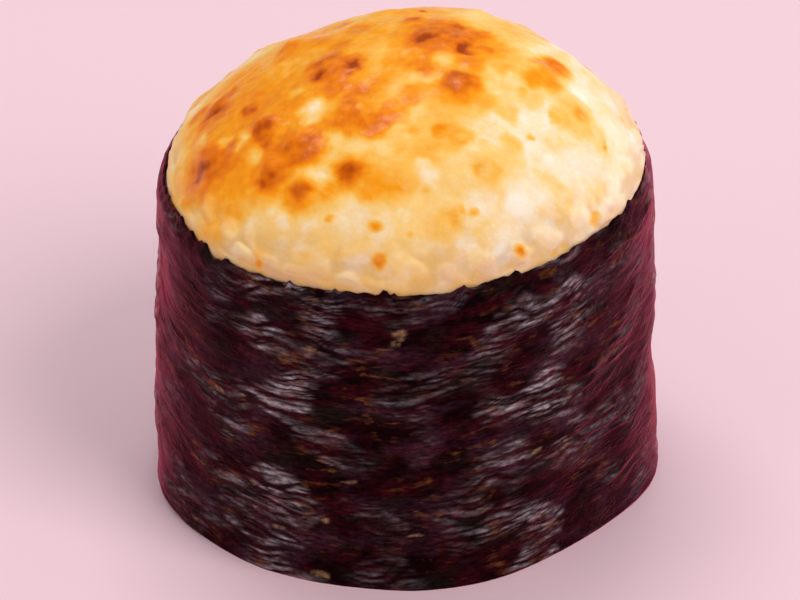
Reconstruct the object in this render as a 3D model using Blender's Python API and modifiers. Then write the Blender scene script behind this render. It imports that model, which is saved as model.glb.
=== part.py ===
"""A gunkan sushi: a band of seaweed round a bed of pressed rice, filled to a dome with a baked topping.

Metres, +Z up. The sushi stands on z = 0 with its footprint's middle at the origin, and its front
faces -Y. Angles turn from +X towards +Y, seen from above.
"""

import math
import random

import bmesh
import bpy
from mathutils import Euler, Matrix, Vector, noise

MM = 0.001
GAP = 0.3 * MM  # air between two pieces that touch in the real thing

# The seaweed band, measured on its outer face.
FOOT_RADIUS = 22.45 * MM
RIM_RADIUS = 22.05 * MM
BAND_HEIGHT = 30.0 * MM
SHEET_THICKNESS = 0.5 * MM
RIM_LEAN = 0.62 * MM  # the rim stands this much higher at RIM_LEAN_ANGLE, and lower opposite
RIM_LEAN_ANGLE = math.radians(14)
OVAL = 0.0145  # share by which the plan is longer across OVAL_ANGLE than it is on average
OVAL_ANGLE = math.radians(46)
TRIANGLE_AT_RIM = 0.005  # a faint three-cornered plan, as a share, with a corner at TRIANGLE_ANGLE
TRIANGLE_ANGLE = math.radians(21)
FOOT_SHIFT = (0.3 * MM, -0.45 * MM)  # the foot's middle against the rim's, along X and Y
FOOT_FLAT = 1.2 * MM  # the foot is pressed in this far at FOOT_FLAT_ANGLE
FOOT_FLAT_ANGLE = math.radians(-41)
FOOT_FLAT_REACH = math.radians(33)  # to either side
LIP_LEAN = 0.35 * MM  # the last of the sheet leans in over the filling
LIP_HEIGHT = 2.0 * MM

# Soft waves in the band's wall: height, waves in a turn, waves up the wall, start.
WALL_WAVES = (
    (0.13 * MM, 5, 0.8, 1.3),
    (0.10 * MM, 9, -1.7, 0.4),
    (0.08 * MM, 4, 2.9, 2.6),
)
RIM_WAVES = ((0.10 * MM, 7, 0.6), (0.08 * MM, 12, 2.1))  # height, waves in a turn, start

# The strip goes round once and laps over its own start, at the back.
LAP_END_ANGLE = math.radians(100)
LAP = math.radians(36)
LAP_GAP = 0.1 * MM
LAP_RAMP = math.radians(28)  # the stretch in which the strip climbs onto its own start
FOOT_EDGE = 0.5 * MM  # what lies under this height is the strip's lower edge
COLUMNS_PER_TURN = 80
STRIP_ROWS = 9

# The baked topping: a plug inside the band and a dome above it.
PLUG_BOTTOM = 22.0 * MM
EDGE_DROP = 0.4 * MM  # the dome starts this far under the rim
DOME_HEIGHT = 12.7 * MM
DOME_FALL = 0.68  # power of the dome's profile: under 1 is full-shouldered
DOME_FALL_SWING = 0.14  # fuller on the side at DOME_FULL_ANGLE, flatter opposite
DOME_FULL_ANGLE = math.radians(235)
DOME_LEAN = 0.162  # the dome is this share higher at the right edge than on the axis
TOPPING_SEGMENTS = 78
DOME_RINGS = 25
SKIRT_RINGS = 2
UNDERSIDE_RINGS = 2

# Blisters that the oven raised: x and y from the axis and radius, in millimetres.
BLISTERS = (
    (-3.4, -7.8, 3.1),
    (-6.0, -0.6, 2.6),
    (3.4, 1.4, 3.0),
    (4.8, -5.4, 2.4),
    (12.2, -0.4, 2.2),
    (15.1, -3.0, 1.8),
    (7.1, -12.7, 1.8),
    (-0.4, -14.3, 2.2),
    (-4.4, -13.0, 2.0),
    (-9.1, -13.2, 1.6),
    (-9.4, -9.0, 2.2),
    (-12.0, -10.6, 1.6),
    (-12.2, -5.3, 1.6),
    (-17.3, -5.0, 2.1),
    (-16.6, 2.2, 1.7),
    (-9.8, 6.6, 2.2),
    (-2.0, 9.4, 2.6),
    (6.4, 9.0, 2.2),
    (-12.4, 11.8, 2.0),
    (1.2, 15.6, 2.1),
    (10.6, 13.4, 1.8),
    (14.8, 5.6, 1.7),
    (18.2, 0.6, 2.8),
)
BLISTER_HEIGHT = 0.28 * MM
LUMP_HEIGHT = 0.22 * MM  # soft unevenness all over the dome
LUMP_SIZE = 4.2 * MM
SHRED_HEIGHT = 0.25 * MM  # shreds of filling that show through near the rim
SHRED_SIZE = 2.3 * MM
SHRED_ZONE = 0.72  # share of the way from the crown to the rim where they begin

# The rice: a pressed puck whose underside shows its grains.
RICE_WALL = 0.4 * MM  # the bare puck stays this far inside the band
PUCK_BOTTOM = 1.5 * MM
PUCK_SEGMENTS = 48
PUCK_WALL_CUTS = 4
GRAIN_LENGTH = 6.2 * MM
GRAIN_WIDTH = 3.0 * MM
GRAIN_DEPTH = 2.7 * MM
GRAIN_COUNT = 100
GRAIN_MARGIN = 0.2 * MM  # room for a grain by the wall to lie a little crooked
GRAIN_SEED = 41
GOLDEN_ANGLE = math.radians(137.508)
MIDDLE_GRAIN_SINK = 0.4 * MM  # how much of the middle grain is pressed flat
BOARD_CUTTER_SIZE = 60 * MM


def smooth_step(share):
    """0 up to share 0, 1 from share 1 on, with a soft start and end."""
    share = min(max(share, 0.0), 1.0)
    return share * share * (3.0 - 2.0 * share)


def foot_unevenness(angle):
    """How far the foot stands out from an even oval: it is shifted, and flat at the front right."""
    shift = FOOT_SHIFT[0] * math.cos(angle) + FOOT_SHIFT[1] * math.sin(angle)
    away = abs(math.remainder(angle - FOOT_FLAT_ANGLE, 2 * math.pi)) / FOOT_FLAT_REACH
    return shift - 0.5 * FOOT_FLAT * (1 + math.cos(math.pi * min(away, 1.0)))


def rim_height(angle):
    """The rim's height: a level cut that leans, with small waves."""
    waves = sum(size * math.cos(count * angle + start) for size, count, start in RIM_WAVES)
    return BAND_HEIGHT + RIM_LEAN * math.cos(angle - RIM_LEAN_ANGLE) + waves


def outer_radius(angle, z):
    """Distance from the axis to the band's outer face: a cone with an uneven plan and soft waves."""
    up = z / BAND_HEIGHT
    cone = FOOT_RADIUS + (RIM_RADIUS - FOOT_RADIUS) * up
    oval = OVAL * math.cos(2 * (angle - OVAL_ANGLE))
    three_cornered = up * TRIANGLE_AT_RIM * math.cos(3 * (angle - TRIANGLE_ANGLE))
    waves = sum(
        size * math.cos(count * angle + 2 * math.pi * rise * up + start)
        for size, count, rise, start in WALL_WAVES
    )
    lip = LIP_LEAN * smooth_step((z - BAND_HEIGHT + LIP_HEIGHT) / LIP_HEIGHT)
    return cone * (1 + oval + three_cornered) + (1 - up) * foot_unevenness(angle) + waves - lip


def inner_radius(angle, z):
    return outer_radius(angle, z) - SHEET_THICKNESS


def material(name, colour, roughness, subsurface=0.0):
    made = bpy.data.materials.new(name)
    made.use_nodes = True
    shader = made.node_tree.nodes["Principled BSDF"]
    shader.inputs["Base Color"].default_value = (*colour, 1.0)
    shader.inputs["Roughness"].default_value = roughness
    shader.inputs["Metallic"].default_value = 0.0
    shader.inputs["Subsurface Weight"].default_value = subsurface
    made.diffuse_color = (*colour, 1.0)
    return made


def new_collection(name):
    made = bpy.data.collections.new(name)
    bpy.context.scene.collection.children.link(made)
    return made


def object_from(bm, name, collection, surface=None):
    """Turns a bmesh into an object, shaded smooth but for its sharp edges."""
    mesh = bpy.data.meshes.new(name)
    bm.to_mesh(mesh)
    bm.free()
    mesh.shade_smooth()
    mesh.set_sharp_from_angle(angle=math.radians(50))
    made = bpy.data.objects.new(name, mesh)
    if surface:
        mesh.materials.append(surface)
    collection.objects.link(made)
    return made


def apply_modifiers(target):
    """Replaces the object's mesh with the one that its modifiers give."""
    bpy.context.view_layer.update()
    graph = bpy.context.evaluated_depsgraph_get()
    applied = bpy.data.meshes.new_from_object(target.evaluated_get(graph))
    applied.name = target.name
    target.modifiers.clear()
    target.data = applied


def lap_rise(turned):
    """How far the strip has climbed onto its own start, by the angle that it has gone round."""
    climbed = smooth_step((turned - 2 * math.pi + LAP_RAMP) / LAP_RAMP)
    return (SHEET_THICKNESS + LAP_GAP) * climbed


def cut_foot_level(band):
    """The strip's lower edge is cut level: thickness given to a leaning wall tips it a little."""
    for vertex in band.data.vertices:
        if vertex.co.z < FOOT_EDGE:
            vertex.co.z = 0.0


def make_band(collection):
    """A flat strip rolled once round with a lap, and given its thickness inwards."""
    bm = bmesh.new()
    columns = COLUMNS_PER_TURN + round(COLUMNS_PER_TURN * LAP / (2 * math.pi))
    bmesh.ops.create_grid(bm, x_segments=columns, y_segments=STRIP_ROWS, size=0.5)
    strip_turn = 2 * math.pi + LAP
    for vertex in bm.verts:
        turned = (vertex.co.x + 0.5) * strip_turn
        angle = LAP_END_ANGLE - strip_turn + turned
        z = (vertex.co.y + 0.5) * rim_height(angle)
        radius = outer_radius(angle, z) + lap_rise(turned)
        vertex.co = (radius * math.cos(angle), radius * math.sin(angle), z)
    seaweed = material("toasted_seaweed", (0.012, 0.006, 0.008), 0.38)
    band = object_from(bm, "nori_wrap", collection, seaweed)
    shell = band.modifiers.new("sheet thickness", "SOLIDIFY")
    shell.thickness = SHEET_THICKNESS
    shell.offset = -1.0
    shell.use_even_offset = True
    apply_modifiers(band)
    cut_foot_level(band)
    return band


def dome_point(angle, share):
    """A point of the dome: share runs from 0 at the crown to 1 at the rim, evenly along the profile.

    Height is DOME_HEIGHT times (1 - reach squared) to a power, over a base that follows the rim.
    """
    reach = math.sin(0.5 * math.pi * share)
    edge = inner_radius(angle, BAND_HEIGHT - EDGE_DROP) - GAP
    x = edge * reach * math.cos(angle)
    y = edge * reach * math.sin(angle)
    power = DOME_FALL - DOME_FALL_SWING * math.cos(angle - DOME_FULL_ANGLE) * reach
    base = BAND_HEIGHT + (rim_height(angle) - BAND_HEIGHT) * reach - EDGE_DROP
    crown = DOME_HEIGHT * max(1 - reach * reach, 0.0) ** power * (1 + DOME_LEAN * x / RIM_RADIUS)
    return Vector((x, y, base + crown))


def blister_height(point):
    """Domed welts: a half cosine across each blister's radius; where two meet, the higher one shows."""
    height = 0.0
    for x, y, radius in BLISTERS:
        away = math.hypot(point.x - x * MM, point.y - y * MM) / (radius * MM)
        if away < 1:
            height = max(height, BLISTER_HEIGHT * 0.5 * (1 + math.cos(math.pi * away)))
    return height


def dome_relief(point, share):
    """Lumps all over, blisters on top and shreds near the rim, fading out at the edge."""
    lumps = LUMP_HEIGHT * noise.noise(point / LUMP_SIZE)
    shreds_here = smooth_step((share - SHRED_ZONE) / (1 - SHRED_ZONE))
    shreds = SHRED_HEIGHT * shreds_here * noise.noise(point / SHRED_SIZE + Vector((7.0, 3.0, 1.0)))
    edge_fade = 1 - smooth_step((share - 0.93) / 0.07)
    return (lumps + shreds + blister_height(point)) * edge_fade


def dome_surface(angle, share):
    """The dome with its relief, raised along the line from the middle of the plug."""
    point = dome_point(angle, share)
    outward = (point - Vector((0, 0, PLUG_BOTTOM))).normalized()
    return point + outward * dome_relief(point, share)


def skirt_point(angle, share):
    """The plug's side, from the rim at share 0 to the plug's bottom at share 1."""
    top = dome_point(angle, 1.0).z
    z = top + (PLUG_BOTTOM - top) * share
    radius = inner_radius(angle, z) - GAP
    return Vector((radius * math.cos(angle), radius * math.sin(angle), z))


def underside_point(angle, share):
    """The plug's flat bottom, from its edge at share 0 to its middle at share 1."""
    radius = (inner_radius(angle, PLUG_BOTTOM) - GAP) * (1 - share)
    return Vector((radius * math.cos(angle), radius * math.sin(angle), PLUG_BOTTOM))


def topping_point(angle, ring):
    """Where a vertex of ring number 0 (crown) to the last (middle of the underside) goes."""
    if ring <= DOME_RINGS:
        return dome_surface(angle, ring / DOME_RINGS)
    if ring <= DOME_RINGS + SKIRT_RINGS:
        return skirt_point(angle, (ring - DOME_RINGS) / SKIRT_RINGS)
    return underside_point(angle, (ring - DOME_RINGS - SKIRT_RINGS) / UNDERSIDE_RINGS)


def make_topping(collection):
    """A ball whose rings are pulled into the dome, the plug's side and its flat underside."""
    rings = DOME_RINGS + SKIRT_RINGS + UNDERSIDE_RINGS
    bm = bmesh.new()
    bmesh.ops.create_uvsphere(bm, u_segments=TOPPING_SEGMENTS, v_segments=rings, radius=1.0)
    for vertex in bm.verts:
        down = math.acos(min(max(vertex.co.z, -1.0), 1.0))
        angle = math.atan2(vertex.co.y, vertex.co.x)
        vertex.co = topping_point(angle, round(down / math.pi * rings))
    baked_cream = material("baked_cream", (0.85, 0.55, 0.25), 0.42, subsurface=0.15)
    return object_from(bm, "baked_topping", collection, baked_cream)


def make_rice_puck(collection, surface):
    """The bare puck: a short drum that follows the band's plan, a little inside it."""
    top = PLUG_BOTTOM - GAP
    bm = bmesh.new()
    bmesh.ops.create_cone(
        bm, cap_ends=True, segments=PUCK_SEGMENTS, radius1=1.0, radius2=1.0, depth=1.0
    )
    upright = [edge for edge in bm.edges if abs(edge.verts[0].co.z - edge.verts[1].co.z) > 0.5]
    bmesh.ops.subdivide_edges(bm, edges=upright, cuts=PUCK_WALL_CUTS)
    for vertex in bm.verts:
        z = PUCK_BOTTOM + (vertex.co.z + 0.5) * (top - PUCK_BOTTOM)
        angle = math.atan2(vertex.co.y, vertex.co.x)
        radius = inner_radius(angle, z) - RICE_WALL
        vertex.co = (radius * math.cos(angle), radius * math.sin(angle), z)
    return object_from(bm, "rice_bed", collection, surface)


def grain_mesh():
    """A cooked grain with few sides: a ball stretched to a grain's length, width and depth."""
    bm = bmesh.new()
    bmesh.ops.create_uvsphere(bm, u_segments=6, v_segments=4, radius=0.5)
    lay_along_x = Matrix.Rotation(math.radians(90), 3, "Y")
    bmesh.ops.transform(bm, matrix=lay_along_x.to_4x4(), verts=bm.verts)
    bmesh.ops.scale(bm, vec=(GRAIN_LENGTH, GRAIN_WIDTH, GRAIN_DEPTH), verts=bm.verts)
    mesh = bpy.data.meshes.new("grain")
    bm.to_mesh(mesh)
    bm.free()
    return mesh


def grain_places():
    """Even places over the underside, spread as seeds are in a sunflower, each turned by a seeded draw.

    The first lies pressed flat in the middle. Those by the wall lie along it.
    """
    draw = random.Random(GRAIN_SEED)
    yield Matrix.Translation((0, 0, 0.5 * GRAIN_DEPTH - MIDDLE_GRAIN_SINK))
    for number in range(1, GRAIN_COUNT):
        angle = number * GOLDEN_ANGLE
        farthest = inner_radius(angle, PUCK_BOTTOM) - GAP - 0.5 * GRAIN_WIDTH - GRAIN_MARGIN
        share = math.sqrt(number / (GRAIN_COUNT - 1))
        reach = farthest * share
        by_wall = share > 0.8
        turn = draw.uniform(-0.25, 0.25) + angle + math.pi / 2 if by_wall else draw.uniform(0, math.pi)
        height = 0.5 * GRAIN_DEPTH + draw.uniform(-0.3, 0.7) * MM
        tilt = Euler((draw.uniform(-0.5, 0.5), draw.uniform(-0.16, 0.16), turn)).to_matrix().to_4x4()
        place = (reach * math.cos(angle), reach * math.sin(angle), height)
        yield Matrix.Translation(place) @ tilt


def board_cutter(collection):
    """A slab under z = 0: whatever reaches into it is pressed flat."""
    bm = bmesh.new()
    bmesh.ops.create_cube(bm, size=BOARD_CUTTER_SIZE)
    bmesh.ops.translate(bm, vec=(0, 0, -0.5 * BOARD_CUTTER_SIZE), verts=bm.verts)
    cutter = object_from(bm, "board_cutter", collection)
    cutter.hide_render = True
    cutter.display_type = "WIRE"
    return cutter


def connected_faces(bm):
    """The mesh's separate shells, each a list of faces."""
    unseen = set(bm.faces)
    while unseen:
        shell = [unseen.pop()]
        for face in shell:
            for edge in face.edges:
                for neighbour in edge.link_faces:
                    if neighbour in unseen:
                        unseen.remove(neighbour)
                        shell.append(neighbour)
        yield shell


def keep_main_shell(target):
    """Drops loose scraps and sealed hollows that fusing leaves."""
    bm = bmesh.new()
    bm.from_mesh(target.data)
    shells = sorted(connected_faces(bm), key=len)
    scraps = [face for shell in shells[:-1] for face in shell]
    bmesh.ops.delete(bm, geom=scraps, context="FACES")
    bm.to_mesh(target.data)
    bm.free()


def make_rice(collection, cutters):
    """The puck with its grains fused on by one union, pressed flat on the board."""
    cooked_rice = material("cooked_rice", (0.80, 0.78, 0.70), 0.45, subsurface=0.2)
    rice = make_rice_puck(collection, cooked_rice)
    loose_grains = new_collection("loose_grains")
    shared = grain_mesh()
    for number, place in enumerate(grain_places()):
        grain = bpy.data.objects.new(f"grain_{number:02d}", shared)
        grain.matrix_world = place
        loose_grains.objects.link(grain)
    union = rice.modifiers.new("grains", "BOOLEAN")
    union.operation = "UNION"
    union.operand_type = "COLLECTION"
    union.collection = loose_grains
    union.solver = "EXACT"
    pressed = rice.modifiers.new("pressed on the board", "BOOLEAN")
    pressed.operation = "DIFFERENCE"
    pressed.object = board_cutter(cutters)
    pressed.solver = "EXACT"
    apply_modifiers(rice)
    for grain in list(loose_grains.objects):
        bpy.data.objects.remove(grain)
    bpy.data.collections.remove(loose_grains)
    keep_main_shell(rice)
    return rice


def footprint_middle(band):
    """The middle of the band's box in plan."""
    bpy.context.view_layer.update()
    evaluated = band.evaluated_get(bpy.context.evaluated_depsgraph_get())
    mesh = evaluated.to_mesh()
    places = [vertex.co.copy() for vertex in mesh.vertices]
    evaluated.to_mesh_clear()
    across = [place.x for place in places]
    along = [place.y for place in places]
    return Vector((min(across) + max(across), min(along) + max(along), 0)) / 2


def main():
    for old in list(bpy.data.objects):
        bpy.data.objects.remove(old)
    sushi = new_collection("gunkan_sushi")
    cutters = new_collection("cutters")
    band = make_band(sushi)
    pieces = (band, make_topping(sushi), make_rice(sushi, cutters))
    stand = bpy.data.objects.new("sushi_stand", None)
    sushi.objects.link(stand)
    stand.location = -footprint_middle(band)
    for piece in pieces:
        piece.parent = stand


main()
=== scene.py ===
"""A gunkan sushi: a crinkled seaweed band round a bed of rice, filled to a dome with a baked topping.

Metres, +Z up, the front faces -Y. Angles turn from +X towards +Y, seen from above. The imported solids
carry every piece, and the pieces made here stand for them.
"""

import math
import random

import bpy
import numpy as np
from bpy.props import FloatProperty, FloatVectorProperty, PointerProperty
from mathutils import Euler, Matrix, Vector


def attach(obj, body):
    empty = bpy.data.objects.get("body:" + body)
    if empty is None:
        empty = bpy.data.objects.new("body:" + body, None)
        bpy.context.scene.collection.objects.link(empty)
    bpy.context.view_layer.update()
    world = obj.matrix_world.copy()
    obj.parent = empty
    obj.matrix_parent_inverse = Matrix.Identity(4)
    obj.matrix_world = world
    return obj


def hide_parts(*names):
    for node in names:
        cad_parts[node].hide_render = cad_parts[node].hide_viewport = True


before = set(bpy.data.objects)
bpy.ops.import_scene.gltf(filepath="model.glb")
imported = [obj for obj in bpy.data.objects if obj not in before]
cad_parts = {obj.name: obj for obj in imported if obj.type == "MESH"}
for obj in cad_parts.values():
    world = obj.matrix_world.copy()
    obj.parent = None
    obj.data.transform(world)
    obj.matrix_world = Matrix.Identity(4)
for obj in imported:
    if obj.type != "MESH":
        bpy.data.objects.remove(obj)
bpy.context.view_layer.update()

bl_info = {
    "name": "Gunkan Sushi",
    "version": (1, 0, 0),
    "blender": (4, 5, 0),
    "location": "View3D > Sidebar > Sushi",
    "description": "Adds a gunkan sushi with a seaweed band, rice and a baked topping",
    "category": "Add Mesh",
}

MM = 0.001
TURN = 2 * math.pi
DEGREE = TURN / 360

# Noise is listed below as its height, the size of its cells and its seed.

# The band's plan and profile, as the solids have them.
FOOT_RADIUS = 22.45 * MM
RIM_RADIUS = 22.05 * MM
BAND_HEIGHT = 30.0 * MM
SHEET_THICKNESS = 0.5 * MM
RIM_LEAN = 0.62 * MM
RIM_LEAN_ANGLE = 14 * DEGREE
OVAL = 0.0145  # share of the radius
OVAL_ANGLE = 46 * DEGREE
TRIANGLE_AT_RIM = 0.005  # share of the radius
TRIANGLE_ANGLE = 21 * DEGREE
FOOT_SHIFT = (0.3 * MM, -0.45 * MM)
FOOT_FLAT = 1.2 * MM
FOOT_FLAT_ANGLE = -41 * DEGREE
FOOT_FLAT_REACH = 33 * DEGREE
LIP_LEAN = 0.35 * MM
LIP_HEIGHT = 2.0 * MM
WALL_WAVES = (  # height, waves in a turn, waves up the wall, start
    (0.13 * MM, 5, 0.8, 1.3),
    (0.10 * MM, 9, -1.7, 0.4),
    (0.08 * MM, 4, 2.9, 2.6),
)
RIM_WAVES = ((0.10 * MM, 7, 0.6), (0.08 * MM, 12, 2.1))  # height, waves in a turn, start
LAP_END_ANGLE = 100 * DEGREE
LAP = 36 * DEGREE
LAP_GAP = 0.1 * MM
LAP_RAMP = 28 * DEGREE
STRIP_TURN = TURN + LAP
STRIP_START = LAP_END_ANGLE - STRIP_TURN
PLAN_STEPS = (721, 31)  # round the strip and up it, where the plan is measured

# The seaweed's mesh.
STRIP_COLUMNS = 450
OUTER_ROWS = 198
INNER_ROWS = 9
INNER_CROWDING = 1.6  # the power that crowds the inner rows towards the rim
RIM_DEPTHS = (0.2, 0.5, 0.8)  # shares of the thickness at which the rim has its vertices
FOOT_DEPTHS = (0.66, 0.33)
RIM_ROUNDING = 0.06 * MM
TORN_REACH = 1.2 * MM  # how far down from the rim the torn edge draws the sheet's rows
LIP_TAPER = 0.45  # share of its thickness that the sheet loses at the rim
LIP_TAPER_HEIGHT = 0.9 * MM
HIDDEN_FADE = 6 * DEGREE  # over which the relief fades out where the lap covers the strip

# The seaweed's crinkles. They are calmer at the foot and by the rim, where a share of their height is left.
FOOT_RELIEF = 0.4
FOOT_CALM_HEIGHT = 0.8 * MM
RIM_RELIEF = 0.35
RIM_CALM_HEIGHT = 2.0 * MM
CREASE_ROUNDING = 0.004  # added under the root of a crinkle's shape
HUMP_LEAN = 0.6  # how far a hump leans down, in its own widths
CRINKLED_PATCH = (6.0 * MM, 4.6 * MM, 3)  # length, height and seed
CRINKLE_SWAYS = (  # how far crinkles sway up and down, and over what length and height, and the seed
    (1.5 * MM, 7.5 * MM, 5.0 * MM, 1),
    (0.5 * MM, 3.0 * MM, 2.0 * MM, 9),
)
DENT_SHARE = 0.25
DENT = (7.0 * MM, 3.4 * MM, 2)  # length, height and seed
CRINKLES = (  # length and width in main crinkles, height, what crinkled patches add to it, and seed
    (1.3, 2.2, 0.40, 0.00, 10),
    (1.0, 1.0, 0.45, 0.90, 4),
    (0.55, 0.5, 0.15, 0.40, 5),
)
CRINKLE_MIDDLE = 0.6  # what is taken off, so that the sheet goes in as well as out
DEEPEST_CRINKLE = 0.55 * SHEET_THICKNESS

# Straw-coloured flakes pressed into the sheet: angle round the band, height, half length and half height.
FLAKES = (
    (-91 * DEGREE, 26.2 * MM, 0.65 * MM, 0.55 * MM),
    (-92 * DEGREE, 25.2 * MM, 0.35 * MM, 0.30 * MM),
    (-109 * DEGREE, 0.9 * MM, 0.75 * MM, 0.32 * MM),
    (-137 * DEGREE, 16.4 * MM, 0.75 * MM, 0.26 * MM),
    (-112 * DEGREE, 24.0 * MM, 0.55 * MM, 0.20 * MM),
    (-58 * DEGREE, 12.0 * MM, 0.60 * MM, 0.18 * MM),
)
LOOSE_FLAKES = 16
LOOSE_FLAKE_RANGES = (
    (LAP_END_ANGLE - TURN, LAP_END_ANGLE),
    (0.5 * MM, 28.5 * MM),
    (0.2 * MM, 0.7 * MM),
    (0.1 * MM, 0.22 * MM),
)
FLAKE_SEED = 8
FLAKE_PUSHES = ((0.30 * MM, 0.8 * MM, 0.8 * MM, 15), (0.30 * MM, 0.8 * MM, 0.8 * MM, 16))
FLAKE_EDGE = (0.8, 1.3)  # in radii: where a flake starts to fade and where it ends

# Where the painted sheen is strongest round the band, a grey that stands in for the lights' reflection: angle
# round the band and how far to each side.
PAINTED_SHEEN_BANDS = (
    (-119 * DEGREE, 22 * DEGREE),
    (-57 * DEGREE, 25 * DEGREE),
    (5 * DEGREE, 18 * DEGREE),
    (62 * DEGREE, 22 * DEGREE),
    (126 * DEGREE, 20 * DEGREE),
    (180 * DEGREE, 16 * DEGREE),
)
PAINTED_SHEEN_ELSEWHERE = 0.12
SLOPE_STEP = 0.05 * MM
SHEEN_SLOPES = (-0.085, 0.235)  # from which slope a crinkle's side gets painted sheen and gloss, and where it gets them in full
SHEEN_STREAK = (3.4 * MM, 0.55 * MM, 14)  # length, height and seed
STREAK_SHARE = 0.8
STREAK_CONTRAST = 1.3
SHEEN_PATCHES = (0.52, 1.04)  # how crinkled a patch is, with the painted sheen's bands added, where the painted sheen starts, and where it is full
SHEEN_BANDS_IN_PATCHES = 0.55
SHEEN_LEAST = 0.15

# The torn rim. FRAY is in shares of the torn edge's height.
FRAY = ((0.54, 2.6 * MM, 17), (0.45, 1.4 * MM, 6), (0.27, 0.8 * MM, 7))
TORN_NOISE = ((1.0, 1.1 * MM, 8),)
TORN_FROM = 0.36  # the noise above this is a torn bit
TORN_STEEPNESS = 3.0
RIM_BITS = (  # torn bits that stand up from the rim: angle round the band, height and half width
    (-94.6 * DEGREE, 0.40 * MM, 0.35 * MM),
    (-62.2 * DEGREE, 0.48 * MM, 0.40 * MM),
    (-143.9 * DEGREE, 0.42 * MM, 0.55 * MM),
    (-136.0 * DEGREE, 0.30 * MM, 0.40 * MM),
    (-44.0 * DEGREE, 0.36 * MM, 0.45 * MM),
    (-20.0 * DEGREE, 0.30 * MM, 0.40 * MM),
    (-150.5 * DEGREE, 0.36 * MM, 0.35 * MM),
    (-157.0 * DEGREE, 0.30 * MM, 0.35 * MM),
)

# The topping's dome and plug, as the solids have them.
PLUG_BOTTOM = 22.0 * MM
EDGE_DROP = 0.4 * MM
DOME_HEIGHT = 12.7 * MM
DOME_FALL = 0.68
DOME_FALL_SWING = 0.14
DOME_FULL_ANGLE = 235 * DEGREE
DOME_LEAN = 0.162
DOME_RUN = 1.35 * RIM_RADIUS  # length of the dome's profile, from the crown to the rim
FILLING_CLEARANCE = 0.03 * MM  # the topping all but touches the sheet
TOPPING_SEGMENTS = 460
DOME_RINGS = 194
SKIRT_RINGS = 5
UNDERSIDE_RINGS = 3

# The topping's relief. Its heights that have no unit are shares of a height in the sidebar, and its places
# that have none are shares of the way from the crown to the rim.
LUMPS = ((1.0, 4.2 * MM, 11), (0.35, 1.5 * MM, 12))
SKIN_GRAIN = ((0.03 * MM, 0.7 * MM, 13),)
CRUST_RISE = 0.06 * MM
CRUST_LEVELS = (0.3, 0.6)  # how baked the cream is where the crust rises
SCORCH_SINK = 0.10 * MM
SCORCH_LEVELS = (0.75, 0.95)
RELIEF_END = (0.965, 1.0)
SWELL = 0.3 * MM  # the filling is a little fuller at the right
SWELL_ANGLE = 28 * DEGREE
SWELL_FROM = 0.7
OVERHANG = 0.6 * MM  # how far the filling may bulge out over the rim
OVERHANG_HEIGHT = 1.0 * MM

# Shreds of filling that show near the rim.
SHRED_COUNT = 190
SHRED_SEED = 5
SHRED_START = (0.68, 0.84)
SHRED_PLACES = (0.74, 1.0)
SHRED_SLANT = (0.8, 0.6)  # mean and spread
SHRED_SIDES = (0.35, 0.65)  # how many slant to the left and to the right
SHRED_HALF_LENGTH = (0.9 * MM, 2.6 * MM)
SHRED_HALF_WIDTH = (0.55 * MM, 1.2 * MM)
SHRED_LIFT = (0.3, 1.0)
SHRED_PUSHES = (((0.55 * MM, 1.5 * MM, 31),), ((0.55 * MM, 1.5 * MM, 32),))
SHRED_TONE_HEIGHT = 0.45  # how high a shred is where it shows its own tone in full
SHRED_SHADE_HEIGHT = 0.35  # and below which painted shade in the gap between shreds starts
# Painted shade along the rim, where the filling meets the sheet: how strong, and the shares of the way from
# the crown where it starts and is full.
RIM_SHADE_SHARE = 0.75
RIM_SHADE_PLACES = (0.80, 0.95)

# Blisters that the oven raised: x and y from the axis and radius, in millimetres.
BLISTERS = (
    (-3.4, -7.8, 3.1), (-6.0, -0.6, 2.6), (3.4, 1.4, 3.0), (4.8, -5.4, 2.4),
    (12.2, -0.4, 2.2), (15.1, -3.0, 1.8), (7.1, -12.7, 1.8), (-0.4, -14.3, 2.2),
    (-4.4, -13.0, 2.0), (-9.1, -13.2, 1.6), (-9.4, -9.0, 2.2), (-12.0, -10.6, 1.6),
    (-12.2, -5.3, 1.6), (-17.3, -5.0, 2.1), (-16.6, 2.2, 1.7), (-9.8, 6.6, 2.2),
    (-2.0, 9.4, 2.6), (6.4, 9.0, 2.2), (-12.4, 11.8, 3.2), (1.2, 15.6, 2.1),
    (10.6, 13.4, 1.8), (14.8, 5.6, 1.7), (18.2, 0.6, 2.8),
)
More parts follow.
